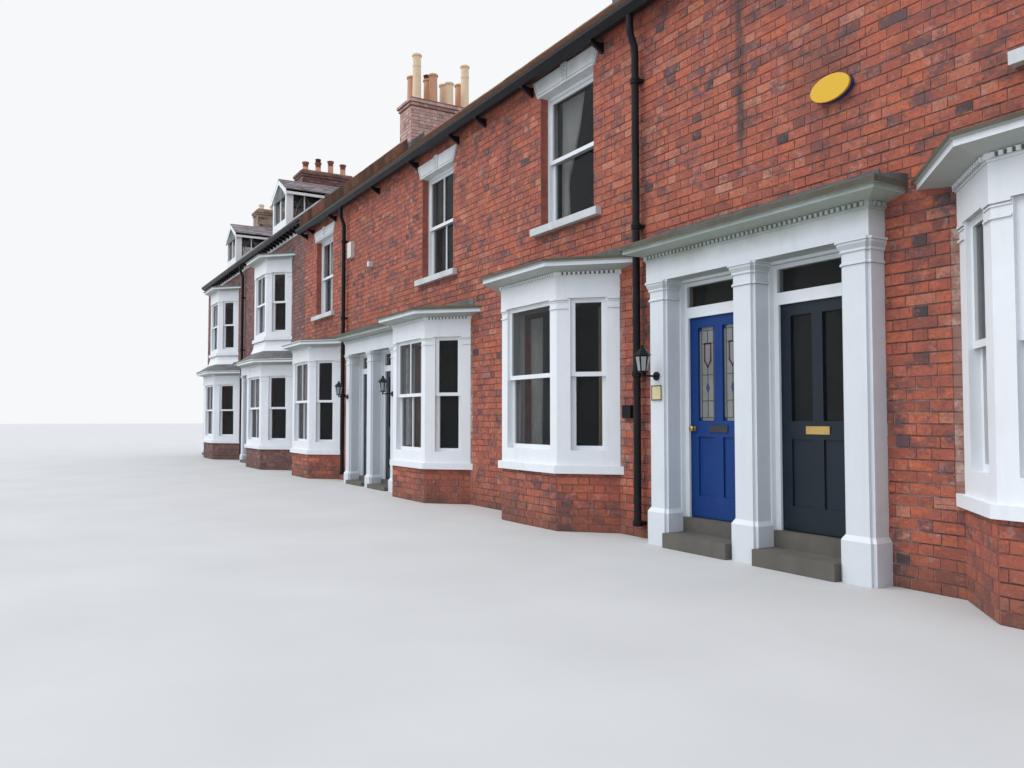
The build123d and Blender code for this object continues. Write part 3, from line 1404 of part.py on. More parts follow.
with BuildPart() as number_plate:
    x = LINE_AB - PILASTER_SPACING
    block(x - NUMBER_SIZE / 2, x + NUMBER_SIZE / 2, -PILASTER_REACH - NUMBER_THICK, -PILASTER_REACH,
          NUMBER_HEIGHT - NUMBER_SIZE / 2, NUMBER_HEIGHT + NUMBER_SIZE / 2)
finish(number_plate, "number_plate")
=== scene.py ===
"""A terrace of six brick houses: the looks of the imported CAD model, in metres."""
import math
import random

import bpy
import numpy as np
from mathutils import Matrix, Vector


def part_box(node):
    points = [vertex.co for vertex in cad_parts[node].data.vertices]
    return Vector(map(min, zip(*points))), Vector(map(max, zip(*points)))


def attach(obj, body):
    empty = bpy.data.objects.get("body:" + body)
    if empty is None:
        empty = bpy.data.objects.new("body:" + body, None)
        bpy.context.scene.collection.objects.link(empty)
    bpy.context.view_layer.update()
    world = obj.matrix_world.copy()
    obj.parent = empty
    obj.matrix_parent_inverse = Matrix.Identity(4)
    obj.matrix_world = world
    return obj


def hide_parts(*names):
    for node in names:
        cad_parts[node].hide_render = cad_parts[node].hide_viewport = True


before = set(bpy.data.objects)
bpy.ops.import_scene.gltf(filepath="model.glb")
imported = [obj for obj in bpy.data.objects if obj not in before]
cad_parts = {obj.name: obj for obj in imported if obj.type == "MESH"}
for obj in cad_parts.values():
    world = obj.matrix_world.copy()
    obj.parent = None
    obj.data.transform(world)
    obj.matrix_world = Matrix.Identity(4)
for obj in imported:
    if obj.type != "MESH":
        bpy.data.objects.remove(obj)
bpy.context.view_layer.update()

# Layout read from the frame
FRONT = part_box("front_wall_upper_a_d")[0].y
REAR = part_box("rear_wall_a_b")[1].y
END_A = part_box("front_wall_upper_a_d")[1].x
END_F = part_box("front_wall_upper_e_f")[0].x
STEP_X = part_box("roof_front_a_d")[0].x
LINE_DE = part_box("front_wall_upper_a_d")[0].x
DEPTH = REAR - FRONT
SLOPE = 0.85
OVERHANG = 0.15
RIDGE = FRONT + DEPTH / 2
EAVES_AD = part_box("roof_front_a_d")[1].z - SLOPE * DEPTH / 2
EAVES_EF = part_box("roof_front_e_f")[1].z - SLOPE * DEPTH / 2
FIRST_FLOOR_TOPS = 4.0
UPPER_SASH_TOPS = 4.6

# Camera, from the vanishing points of the photograph
LENS = 29.11
SENSOR = 36.0
YAW = math.radians(30.492)
PITCH = math.radians(2.386)
EYE = Vector((14.965, FRONT - 5.4, 1.20))

SKY_STRENGTH = 1.35
SUN_STRENGTH = 1.3
FLOOR_REACH = 200.0

# Brickwork
BRICK = 0.222
HEADER = 0.108
JOINT = 0.009
UPRIGHT_JOINT = 0.006
COURSE = 0.083
PROUD = 0.006
UNEVEN = 0.0015
SUNK = 0.002
SOOT_LINE = 9.78
REVEAL = 0.215

# Bays and porches: how far their dentil band stands out, and its place below the top
CORNER = math.tan(math.radians(22.5))
DIAGONAL = math.sqrt(2)
BAND_REACH = 0.030
BAND_HEIGHT = 0.038
BEAD_HEIGHT = 0.014
FRIEZE_BELOW_TOP = {"bay": 0.160, "ef": 0.155, "upper": 0.140, "porch": 0.160}
DENTIL = 0.026
DENTIL_PITCH = 0.050
DENTIL_OUT = 0.014
POSTS = {"bay_frames_a_d": 0.125, "bay_frames_e_f": 0.150, "upper_bay_frames": 0.130}
POST_MOULDINGS = ((0.0, 0.020, 0.016), (0.030, 0.040, 0.008), (0.098, 0.112, 0.012))
UPPER_HALF = 0.586
UPPER_PROJECTION = 0.474
PORCH_CORNICE = 0.200
PORCH_PROJECTION = 0.180
CAPPING = {"bay": 0.022, "upper": 0.018, "porch": 0.038}

GUTTER_BELOW_EAVES = 0.2835
DORMER_SLOPE = 0.5556
LINTEL_FLARE = 0.110
KEYSTONE_PROUD = 0.012
LANTERN_REACH = 0.175
LANTERN_TALL = 0.261
LEAD_BORDER = 0.030

# Rainwater pipes
PIPE_RADIUS = 0.038
PIPE_SETOUT = 0.085
GUTTER_BACK = 0.115
NECK_RISE = 0.330
COLLAR_RADIUS = 0.050
COLLAR = ((0, 0), (0.012, 0.004), (0.012, 0.022), (0.007, 0.026), (0.012, 0.030), (0.012, 0.056), (0, 0.060))
COLLAR_PITCH = 1.500

# Chimney pots, by their heights, and their profiles as (out, up) from the radius and the top
CREAM_POTS = (1.130, 0.605, 0.670, 0.220)
COWLED_POTS = (0.710, 0.350)
POT_WAIST = ((-0.024, -0.32), (-0.016, -0.31), (-0.016, -0.27), (-0.024, -0.26))
POT_RIM = ((-0.024, -0.055), (-0.003, -0.048), (0, -0.030), (-0.002, -0.008), (-0.012, 0), (-0.044, 0),
           (-0.046, -0.30))
POT_COLLAR = ((-0.023, -0.16), (-0.020, -0.155), (-0.020, -0.052), (0.001, -0.046), (0.001, -0.002),
              (-0.024, 0.001))
POT_COWL = ((-0.036, -0.02), (-0.036, 0.075), (-0.014, 0.080), (-0.006, 0.095))

# Chimney stacks
CORBEL = 0.032
SHAFT_INSET = 2 * CORBEL
CORBEL_COURSE = 0.075
FLAUNCHING = 0.06

# Roofing, the height of the lead beside the stacks, and where the tiles of the step start
TILE_WIDTH = 0.165
TILE_GAUGE = 0.100
TILE_THICK = 0.014
TILE_GAP = 0.004
RIDGE_TILE = 0.450
SLATE_WIDTH = 0.20
SLATE_GAUGE = 0.14
FLASHING = 0.16
STEP_FOOT = 0.03


def new_object(name, data):
    """An object in the scene."""
    made = bpy.data.objects.new(name, data)
    bpy.context.scene.collection.objects.link(made)
    return made


def camera():
    """The photograph's camera."""
    data = bpy.data.cameras.new("camera")
    data.lens = LENS
    data.sensor_width = SENSOR
    data.clip_end = 500
    found = new_object("camera", data)
    ahead = Vector((-math.cos(YAW) * math.cos(PITCH), math.sin(YAW) * math.cos(PITCH), math.sin(PITCH)))
    found.location = EYE
    found.rotation_euler = ahead.to_track_quat("-Z", "Y").to_euler()
    bpy.context.scene.camera = found


# Materials
class Shader:
    """A short way to write the nodes of a material, or of the world."""

    def __init__(self, name, kind="materials"):
        self.owner = getattr(bpy.data, kind).new(name)
        self.owner.use_nodes = True
        self.tree = self.owner.node_tree
        self.main = self.tree.nodes.get("Principled BSDF")
        self.place = self.add("TexCoord").outputs["Object"]

    def add(self, kind, sockets=None, **values):
        """A node with its settings and its sockets filled in."""
        node = self.tree.nodes.new("ShaderNode" + kind)
        for key, value in values.items():
            setattr(node, key, value)
        for key, value in (sockets or {}).items():
            self.put(node.inputs[key], value)
        return node

    def put(self, socket, value):
        """A link, a colour or a number into a socket."""
        if isinstance(value, bpy.types.NodeSocket):
            self.tree.links.new(value, socket)
        elif isinstance(value, tuple) and len(value) == 3 and socket.type == "RGBA":
            socket.default_value = (*value, 1)
        else:
            socket.default_value = value

    def noise(self, scale, detail, rough, stretch=(1, 1, 1)):
        mapping = self.add("Mapping", {"Vector": self.place, "Scale": stretch})
        values = {"Vector": mapping.outputs["Vector"], "Scale": scale, "Detail": detail, "Roughness": rough}
        return self.add("TexNoise", values).outputs["Fac"]

    def ramp(self, value, stops):
        node = self.add("ValToRGB", {"Fac": value})
        while len(node.color_ramp.elements) < len(stops):
            node.color_ramp.elements.new(0.5)
        for element, (place, colour) in zip(node.color_ramp.elements, stops):
            element.position = place
            element.color = (*colour, 1)
        return node.outputs["Color"]

    def grey(self, value, low, high, start=0.0, end=1.0):
        """The value stretched from start-end to low-high, and held there."""
        values = {"Value": value, "From Min": start, "From Max": end, "To Min": low, "To Max": high}
        return self.add("MapRange", values).outputs["Result"]

    def sum(self, kind, a, b=0.0):
        return self.add("Math", {0: a, 1: b}, operation=kind).outputs["Value"]

    def times(self, a, b):
        return self.sum("MULTIPLY", a, b)

    def mix(self, share, a, b):
        return self.add("Mix", {"Factor": share, 6: a, 7: b}, data_type="RGBA").outputs[2]

    def layers(self, colour, *layers):
        """Colours laid over the first: each by a value, none of it at start and its share at end."""
        for value, share, start, end, other in layers:
            colour = self.mix(self.grey(value, 0.0, share, start, end), colour, other)
        return colour

    def tones(self, stops):
        """The colour of each brick or tile, by its own tone."""
        return self.ramp(self.add("Attribute", attribute_name="tone").outputs["Fac"], stops)

    def part(self, axis, normal=False):
        """One coordinate of the place, or of the surface's direction."""
        whole = self.add("NewGeometry").outputs["Normal"] if normal else self.place
        return self.add("SeparateXYZ", {0: whole}).outputs[axis]

    def bumps(self, *heights):
        """A chain of bumps, each a value with its depth in metres."""
        last = None
        for value, depth in heights:
            node = self.add("Bump", {"Distance": depth, "Height": value})
            if last is not None:
                self.put(node.inputs["Normal"], last)
            last = node.outputs["Normal"]
        self.put(self.main.inputs["Normal"], last)

    def done(self, colour, rough, **values):
        self.put(self.main.inputs["Base Color"], colour)
        self.put(self.main.inputs["Roughness"], rough)
        for key, value in values.items():
            self.put(self.main.inputs[key.replace("_", " ")], value)
        return self.owner


PALE = (0.54, 0.215, 0.140)
EMBER = (0.66, 0.165, 0.060)
BRIGHT = (0.50, 0.130, 0.072)
RED = (0.38, 0.100, 0.062)
BROWN = (0.25, 0.082, 0.062)
PURPLE = (0.115, 0.070, 0.076)
BURNT = (0.060, 0.048, 0.054)
SPECKS = (0.12, 0.055, 0.048)
SOOT = (0.045, 0.040, 0.044)
SPLASHED = (0.060, 0.050, 0.038)
BLOOM = (0.52, 0.38, 0.36)
# Painted shade with green grime, for the faces of paint that look down
UNDERSIDE_SHADE_AND_GRIME = (0.17, 0.20, 0.15)
ALGAE_AND_SHADE = (0.300, 0.345, 0.285)
ROOM = (0.19, 0.175, 0.155)
MORTAR_PALE = (0.46, 0.33, 0.28)
# Dark mortar, and the painted shadow in the bed joints
DARK_MORTAR_AND_BED_SHADOW = (0.060, 0.042, 0.040)
MORTAR_RED = (0.27, 0.135, 0.105)
MOSS = (0.060, 0.058, 0.022)
LEAD_MOSS = (0.075, 0.070, 0.022)

# Tones of bricks and tiles, from the darkest one to the palest
WARM = [(0.0, BURNT), (0.03, PURPLE), (0.16, BROWN), (0.42, RED), (0.80, BRIGHT), (1.0, PALE)]
DULL = [(0.0, BURNT), (0.14, PURPLE), (0.45, (0.165, 0.088, 0.080)), (0.80, (0.23, 0.116, 0.100)),
        (1.0, (0.30, 0.150, 0.125))]
ROSY = [(0.0, (0.14, 0.10, 0.10)), (0.14, (0.38, 0.25, 0.23)), (0.50, (0.60, 0.385, 0.335)),
        (1.0, (0.76, 0.56, 0.51))]
BUFF = [(0.0, (0.10, 0.08, 0.06)), (0.30, (0.26, 0.20, 0.135)), (0.60, (0.38, 0.30, 0.205)),
        (1.0, (0.52, 0.43, 0.31))]
CLAY = [(0.0, (0.075, 0.048, 0.036)), (0.35, (0.19, 0.095, 0.058)), (0.70, (0.28, 0.135, 0.075)),
        (1.0, (0.36, 0.19, 0.11))]
SLATE = [(0.0, (0.14, 0.12, 0.122)), (0.6, (0.26, 0.225, 0.235)), (1.0, (0.38, 0.335, 0.345))]


def soot_line(s, colour):
    """The sooty trace that runs down the upper wall of house A."""
    reach = s.sum("ABSOLUTE", s.sum("SUBTRACT", s.part("X"), SOOT_LINE))
    wander = s.noise(9, 6, 0.75, (1, 1, 0.35))
    share = s.times(s.grey(reach, 1.0, 0.0, 0.02, 0.07), s.grey(wander, 0.35, 1.0, 0.40, 0.54))
    share = s.times(share, s.grey(s.part("Z"), 0.0, 0.92, 3.3, 3.8))
    return s.mix(share, colour, SOOT)


def brick_material(name, tones, flares, clouds):
    """Fired clay: each brick has its own tone, under clouds that cross from brick to brick."""
    s = Shader(name)
    fine = s.noise(110, 6, 0.75)
    grain = s.noise(38, 6, 0.80)
    cloud = s.noise(4.2, 8, 0.78, (1, 1, 1.3))
    flare = s.noise(6.5, 7, 0.75, (1, 1, 2.2))
    bloom = s.noise(9, 8, 0.82)
    drift = s.noise(1.3, 6, 0.7, (1, 1, 0.5))
    colour = s.layers(s.tones(tones), (flare, flares, 0.52, 0.64, EMBER), (cloud, clouds, 0.51, 0.62, PURPLE),
                      (grain, 0.80, 0.51, 0.66, SPECKS), (bloom, 0.70, 0.55, 0.70, BLOOM),
                      (fine, 0.35, 0.45, 0.75, PURPLE), (drift, 0.55, 0.54, 0.76, SOOT))
    colour = s.mix(s.grey(s.part("Z"), 0.50, 0.0, 0.0, 0.40), soot_line(s, colour), SPLASHED)
    s.bumps((cloud, 0.010), (grain, 0.006), (fine, 0.002))
    return s.done(colour, s.grey(fine, 0.75, 0.96))


def wall_material(name, axis):
    """Mortar behind the bricks, with painted shadow in broken patches along the bed joints, and brickwork in
    the reveals, which face along axis.
    """
    s = Shader(name)
    fine = s.noise(60, 6, 0.8)
    patch = s.noise(2.2, 7, 0.8)
    colour = s.ramp(patch, [(0.32, DARK_MORTAR_AND_BED_SHADOW), (0.42, MORTAR_RED), (0.50, MORTAR_RED), (0.60, MORTAR_PALE)])
    # Painted shadow: the bed joints darken in broken patches, as under the bricks' lower edges; the upright
    # joints stay lighter.
    course = s.sum("FRACT", s.sum("DIVIDE", s.part("Z"), COURSE))
    from_middle = s.sum("ABSOLUTE", s.sum("SUBTRACT", course, 0.5))
    bed = s.sum("GREATER_THAN", from_middle, 0.5 - 0.6 * JOINT / COURSE)
    broken = s.times(s.grey(fine, 1.0, 0.45, 0.46, 0.66), s.grey(s.noise(3.1, 7, 0.8), 0.20, 1.0, 0.42, 0.58))
    colour = s.mix(s.times(bed, broken), colour, DARK_MORTAR_AND_BED_SHADOW)
    flat = s.add("CombineXYZ", {"X": s.part("Y" if axis == "X" else "X"), "Y": s.part("Z")})
    pattern = s.add("TexBrick", {
        "Vector": flat.outputs["Vector"], "Color1": RED, "Color2": BROWN, "Mortar": MORTAR_RED, "Scale": 1.0,
        "Mortar Size": JOINT / 2, "Brick Width": BRICK + JOINT, "Row Height": COURSE})
    sideways = s.sum("GREATER_THAN", s.sum("ABSOLUTE", s.part(axis, normal=True)), 0.5)
    colour = s.mix(sideways, colour, pattern.outputs["Color"])
    if axis == "X":
        inner = s.sum("GREATER_THAN", s.part("Y"), FRONT + REVEAL)
        colour = s.mix(s.times(inner, s.sum("LESS_THAN", s.part("Y"), REAR - REVEAL)), colour, ROOM)
    s.bumps((patch, 0.004), (fine, 0.002))
    return s.done(colour, s.grey(fine, 0.85, 0.98))


def tile_material(name, stops, moss):
    """Fired tiles or slates, each with its own tone, lichen and moss."""
    s = Shader(name)
    fine = s.noise(70, 5, 0.7)
    patch = s.noise(6, 5, 0.7)
    colour = s.layers(s.tones(stops), (fine, 0.5, 0.4, 0.8, stops[0][1]))
    spread = s.times(s.grey(patch, 0.0, 1.0, 0.48, 0.66), s.grey(s.noise(0.6, 4, 0.6), 0.2, 1.0, 0.40, 0.62))
    colour = s.mix(s.times(spread, moss), colour, MOSS)
    s.bumps((patch, 0.003), (fine, 0.002))
    return s.done(colour, s.grey(fine, 0.68, 0.95))


def painted(name, colour, shade, rough, dirt, dirt_colour=(0.20, 0.18, 0.14), streak=True, under=0.0,
            shine=0.5, shade_and_algae_above=None):
    """Old paint: brush marks and dirt that runs down; painted shade with green grime on the faces that look
    down under the ledges, and painted shade with green algae above a height.
    """
    s = Shader(name)
    fine = s.noise(120, 4, 0.6, (1, 1, 0.15))
    wide = s.noise(2.2, 4, 0.6)
    runs = s.noise(7, 6, 0.7, (1, 1, 0.12 if streak else 1))
    mixed = s.layers(colour, (wide, 0.6, 0.35, 0.75, shade), (runs, dirt, 0.52, 0.80, dirt_colour))
    if under:
        # Painted shade and green grime: faces that look down are darkened, as in the shade under a ledge.
        mixed = s.mix(s.grey(s.part("Z", normal=True), under, 0.0, -0.75, -0.10), mixed, UNDERSIDE_SHADE_AND_GRIME)
    if shade_and_algae_above:
        # Painted shade with green algae: above the height the paint darkens, as in the shade under a cornice.
        rise = s.grey(s.part("Z"), 0.0, 0.85, shade_and_algae_above, shade_and_algae_above + 0.16)
        mixed = s.mix(s.times(rise, s.grey(wide, 0.55, 1.0, 0.35, 0.60)), mixed, ALGAE_AND_SHADE)
    s.bumps((wide, 0.002), (fine, 0.0006))
    return s.done(mixed, s.grey(runs, rough, min(rough + 0.3, 0.95), 0.45, 0.7), Specular_IOR_Level=shine)


def metal(name, colour, shade, rough, metallic, shine=0.5):
    """Metal that has been out in the weather."""
    s = Shader(name)
    fine = s.noise(40, 5, 0.7)
    wide = s.noise(3, 5, 0.6)
    mixed = s.layers(colour, (wide, 1.0, 0.35, 0.70, shade), (fine, 0.4, 0.45, 0.75, shade))
    s.bumps((wide, 0.002), (fine, 0.0008))
    rough = s.grey(fine, rough, min(rough + 0.25, 0.95), 0.3, 0.7)
    return s.done(mixed, rough, Metallic=metallic, Specular_IOR_Level=shine)


def lead_material():
    """Grey lead under a skin of moss where it lies flat, thin on houses E and F."""
    s = Shader("lead_mossy")
    fine = s.noise(55, 6, 0.75)
    wide = s.noise(4, 5, 0.7)
    greys = [(0.30, (0.060, 0.062, 0.066)), (0.55, (0.13, 0.135, 0.14)), (0.80, (0.24, 0.245, 0.25))]
    flat = s.grey(s.part("Z", normal=True), 0.0, 1.0, 0.25, 0.8)
    moss = s.times(flat, s.grey(fine, 0.0, 0.9, 0.36, 0.52))
    moss = s.times(moss, s.grey(s.part("X"), 0.15, 1.0, LINE_DE - 0.01, LINE_DE + 0.01))
    s.bumps((wide, 0.006), (fine, 0.008))
    return s.done(s.mix(moss, s.ramp(wide, greys), LEAD_MOSS), s.grey(fine, 0.55, 0.95))


def glass_material():
    """Old window glass: dark, a little wavy, clear enough to show the room."""
    s = Shader("window_glass")
    dust = s.noise(11, 5, 0.7)
    colour = s.mix(s.grey(dust, 0.0, 0.35, 0.45, 0.8), (0.020, 0.024, 0.026), (0.10, 0.11, 0.11))
    s.bumps((s.noise(2.6, 2, 0.4), 0.004))
    s.put(s.main.inputs["Alpha"], s.grey(dust, 0.24, 0.36))
    return s.done(colour, s.grey(dust, 0.02, 0.10), Specular_IOR_Level=0.25)


def stone(name, colour, shade, dirt):
    """Painted or sawn stone, rubbed and streaked."""
    s = Shader(name)
    fine = s.noise(140, 5, 0.7)
    wide = s.noise(3.4, 5, 0.65, (1, 1, 0.4))
    mixed = s.layers(colour, (wide, 0.8, 0.38, 0.72, shade), (fine, 0.3, 0.45, 0.8, dirt))
    s.bumps((wide, 0.004), (fine, 0.0015))
    return s.done(mixed, s.grey(fine, 0.62, 0.90))


def boards():
    """Floor boards, seen only from inside."""
    s = Shader("floor_boards")
    grain = s.noise(22, 5, 0.7, (0.08, 1, 1))
    colour = s.ramp(grain, [(0.30, (0.12, 0.070, 0.036)), (0.75, (0.26, 0.165, 0.090))])
    s.bumps((grain, 0.001))
    return s.done(colour, s.grey(grain, 0.5, 0.8))


def two_part(name, front, back, depth):
    """Gloss plastic, one colour in front of a depth and another behind it."""
    s = Shader(name)
    fine = s.noise(60, 3, 0.5)
    s.bumps((fine, 0.0003))
    return s.done(s.mix(s.sum("GREATER_THAN", s.part("Y"), depth), front, back), s.grey(fine, 0.22, 0.40))


def plain_name(material):
    """A material's name without the number that Blender adds to a name in use."""
    return material.name.split(".")[0]


MATERIALS = {plain_name(made): made for made in (
    brick_material("bricks_warm", WARM, 0.85, 0.90),
    brick_material("bricks_brown", DULL, 0.25, 0.70),
    brick_material("bricks_rosy", ROSY, 0.15, 0.15),
    brick_material("bricks_buff", BUFF, 0.0, 0.30),
    wall_material("wall_mortar", "X"),
    wall_material("end_mortar", "Y"),
    tile_material("clay_tiles", CLAY, 0.75),
    tile_material("dormer_slates", SLATE, 0.45),
    stone("pot_terracotta", (0.66, 0.36, 0.22), (0.52, 0.26, 0.16), (0.26, 0.15, 0.10)),
    stone("pot_dark", (0.20, 0.055, 0.050), (0.13, 0.042, 0.040), (0.060, 0.030, 0.032)),
    stone("pot_cream", (0.84, 0.66, 0.46), (0.72, 0.55, 0.36), (0.38, 0.29, 0.20)),
    metal("black_iron", (0.008, 0.008, 0.011), (0.016, 0.015, 0.017), 0.30, 0.0, 0.18),
    painted("white_paint", (0.80, 0.83, 0.86), (0.72, 0.75, 0.76), 0.38, 0.12, under=0.75),
    # The porch paint is the white paint made darker and greener: painted shade from the garden plants around
    # the porches.
    painted("shaded_porch_paint", (0.68, 0.72, 0.755), (0.60, 0.64, 0.665), 0.38, 0.12, under=0.75,
            shade_and_algae_above=2.58),
    stone("white_stone", (0.66, 0.69, 0.70), (0.46, 0.48, 0.48), (0.24, 0.24, 0.22)),
    glass_material(),
    lead_material(),
    painted("blue_paint", (0.006, 0.042, 0.19), (0.005, 0.033, 0.155), 0.30, 0.10, (0.01, 0.02, 0.06),
            shine=0.22),
    painted("slate_blue_paint", (0.010, 0.018, 0.028), (0.007, 0.012, 0.020), 0.28, 0.2, (0.02, 0.03, 0.04),
            shine=0.3),
    painted("dark_paint", (0.020, 0.030, 0.040), (0.012, 0.018, 0.024), 0.25, 0.2, (0.05, 0.05, 0.05)),
    metal("brass", (0.62, 0.43, 0.16), (0.36, 0.24, 0.09), 0.22, 1.0),
    metal("black_fittings", (0.014, 0.014, 0.015), (0.035, 0.034, 0.034), 0.28, 0.0),
    stone("stone_step", (0.13, 0.120, 0.105), (0.075, 0.070, 0.060), (0.045, 0.042, 0.036)),
    # Painted shadow: a dark grey for the gaps between dentils and for the sunk lines and hollows of the
    # lintels
    stone("painted_shadow", (0.160, 0.165, 0.130), (0.110, 0.115, 0.088), (0.055, 0.055, 0.042)),
    stone("mossy_capping", (0.080, 0.070, 0.042), (0.13, 0.125, 0.10), (0.045, 0.042, 0.028)),
    painted("obscure_glass", (0.22, 0.225, 0.215), (0.15, 0.155, 0.15), 0.08, 0.1, streak=False),
    two_part("alarm_cover", (0.72, 0.42, 0.012), (0.016, 0.040, 0.20), FRONT - 0.050),
    painted("white_cover", (0.66, 0.66, 0.62), (0.56, 0.56, 0.52), 0.35, 0.25),
    painted("number_plate", (0.70, 0.60, 0.34), (0.60, 0.50, 0.28), 0.30, 0.15),
    painted("lantern_glass", (0.34, 0.36, 0.36), (0.22, 0.24, 0.24), 0.08, 0.2),
    metal("lead_came", (0.10, 0.105, 0.11), (0.05, 0.052, 0.055), 0.45, 0.6),
    painted("red_glass", (0.105, 0.018, 0.045), (0.080, 0.014, 0.036), 0.08, 0.0),
    painted("blue_glass", (0.012, 0.05, 0.22), (0.010, 0.04, 0.16), 0.08, 0.0),
    painted("net_curtain", (0.86, 0.87, 0.84), (0.74, 0.75, 0.72), 0.9, 0.0, streak=False),
    painted("ochre_curtain", (0.62, 0.52, 0.33), (0.50, 0.41, 0.25), 0.9, 0.0, streak=False),
    boards(),
    painted("plaster", ROOM, (0.15, 0.14, 0.125), 0.7, 0.15, streak=False),
)}

# Nodes and slots whose material has another name than their slot
LOOKS = {"porch_a_b": "shaded_porch_paint", "porch_c_d": "shaded_porch_paint", "porches_e_f": "shaded_porch_paint",
         "end_walls": "end_mortar", "chimney_stacks": "end_mortar", "party_walls": "plaster",
         "door_b_glass": "obscure_glass", "red_brick": "wall_mortar", "clay_tile": "clay_tiles",
         "chimney_clay": "pot_terracotta", "lead": "lead_mossy", "slate": "dormer_slates",
         "yellow_cover": "alarm_cover", "cream_plate": "number_plate"}


def dress_nodes():
    """Give each CAD node its material; its own one is named after its slot."""
    for name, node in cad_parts.items():
        slots = node.data.materials
        slot = plain_name(slots[0])
        slots.clear()
        slots.append(MATERIALS[LOOKS.get(name, LOOKS.get(slot, slot))])


def oblong(left, right, low, high):
    """The corners of an upright rectangle."""
    return [(left, low), (right, low), (right, high), (left, high)]


def edge_faces(count):
    """The faces between two outlines of as many points."""
    return [(a, count + a, count + (a + 1) % count, (a + 1) % count) for a in range(count)]


class Mesh:
    """Points, faces and tones that are gathered into one piece."""

    def __init__(self):
        self.points, self.faces, self.tones = [], [], []

    def add(self, points, faces, tone=0.5):
        first = len(self.points)
        self.points += [tuple(point) for point in points]
        self.faces += [tuple(first + index for index in face) for face in faces]
        self.tones += [tone] * len(faces)

    def prism(self, corners, shift, tone=0.5):
        """A flat outline carried along a vector."""
        count = len(corners)
        points = [Vector(corner) for corner in corners]
        points += [point + Vector(shift) for point in points]
        self.add(points, [range(count), range(2 * count - 1, count - 1, -1), *edge_faces(count)], tone)

    def plate(self, outline, y, deep, tone=0.5):
        """An outline of (x, z) that stands at y and is carried back from there."""
        self.prism([(x, y, z) for x, z in outline], (0, deep, 0), tone)

    def box(self, low, high):
        """A box between two corners."""
        self.plate(oblong(low[0], high[0], low[2], high[2]), low[1], high[1] - low[1])

    def tube(self, rings, sides, tone=0.5):
        """A skin around level rings, each given by its middle and its radius."""
        points, faces = [], []
        for (x, y, z), radius in rings:
            for turn in range(sides):
                angle = 2 * math.pi * turn / sides
                points.append((x + radius * math.cos(angle), y + radius * math.sin(angle), z))
        for foot in range(0, sides * (len(rings) - 1), sides):
            for turn in range(sides):
                after = (turn + 1) % sides
                faces.append((foot + turn, foot + after, foot + sides + after, foot + sides + turn))
        self.add(points, faces, tone)

    def turned(self, profile, middle, radius, sides=24):
        """A profile of (out, up), from a radius and a height, turned about an upright line."""
        x, y, z = middle
        self.tube([((x, y, z + up), radius + out) for out, up in profile], sides)

    def raised(self, laid, place, rng):
        """Bricks, as (outline, tone), on a plane; place(along, up, out) is a point of it."""
        for outline, tone in laid:
            count = len(outline)
            middle_u = sum(point[0] for point in outline) / count
            middle_v = sum(point[1] for point in outline) / count
            height = PROUD + rng.uniform(-UNEVEN, UNEVEN)
            points = [place(u + math.copysign(UNEVEN, middle_u - u), v + math.copysign(UNEVEN, middle_v - v),
                            height) for u, v in outline]
            points += [place(u, v, -SUNK) for u, v in outline]
            self.add(points, [range(count), *edge_faces(count)], tone)

    def tiled(self, place, rng, left, right, rise, width, gauge, skip=None):
        """Tiles on a slope, along the eaves from left to right; place(along, up, out) is a point of it."""
        for row in range(int(rise / gauge)):
            v = row * gauge
            u = left - (row % 2) * width / 2
            while u < right:
                a, b = max(u, left) + TILE_GAP / 2, min(u + width, right) - TILE_GAP / 2
                u += width
                if b - a < 0.03 or (skip and skip((a + b) / 2, v + gauge / 2)):
                    continue
                out = TILE_THICK + rng.uniform(0, 0.004)
                foot = v + rng.uniform(-0.004, 0.004)
                top = min(v + gauge + 0.01, rise)
                corners = ((a, foot, out), (b, foot, out), (b, top, 0.003), (a, top, 0.003), (a, foot, 0.001),
                           (b, foot, 0.001))
                self.add([place(*corner) for corner in corners],
                         [(0, 1, 2, 3), (0, 4, 5, 1), (4, 0, 3), (1, 5, 2)], clay_tone(rng, 0.5, 0.22))

    def piece(self, name, look, slot=None, body="houses"):
        """What was gathered, as an object in its place, which rides on a body."""
        mesh = bpy.data.meshes.new(name)
        mesh.from_pydata(self.points, [], self.faces)
        mesh.materials.append(MATERIALS[look])
        mesh.attributes.new("tone", "FLOAT", "FACE").data.foreach_set("value", self.tones)
        made = new_object(name, mesh)
        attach(made, body)
        return made


def smooth_by_angle(made):
    """Round surfaces shade smooth and their edges stay sharp."""
    made.data.shade_smooth()
    made.data.set_sharp_from_angle(angle=math.radians(25))


def across(low, high, axis=0):
    """The middle and half the width of a box."""
    return (low[axis] + high[axis]) / 2, (high[axis] - low[axis]) / 2


def islands(name):
    """The box of each solid of a CAD node."""
    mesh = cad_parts[name].data
    points = np.empty(len(mesh.vertices) * 3)
    mesh.vertices.foreach_get("co", points)
    points = points.reshape(-1, 3)
    keys = {}
    same = [keys.setdefault(key, len(keys)) for key in map(tuple, np.round(points, 5))]
    parent = list(range(len(keys)))

    def root(index):
        while parent[index] != index:
            parent[index] = parent[parent[index]]
            index = parent[index]
        return index

    for edge in mesh.edges:
        parent[root(same[edge.vertices[0]])] = root(same[edge.vertices[1]])
    groups = {}
    for index, key in enumerate(same):
        groups.setdefault(root(key), []).append(index)
    return [(points[found].min(0), points[found].max(0)) for found in groups.values()]


# Brickwork
def clay_tone(rng, middle, spread):
    """A tone from 0 to 1, most often near the middle."""
    return min(1.0, max(0.0, rng.gauss(middle, spread)))


def facing(axis, turn, level):
    """The points of an upright plane at a level, which faces along the axis, or against it by turn -1."""
    def place(u, v, out):
        return (-turn * u, level + turn * out, v) if axis == "Y" else (level + turn * out, turn * u, v)

    return place


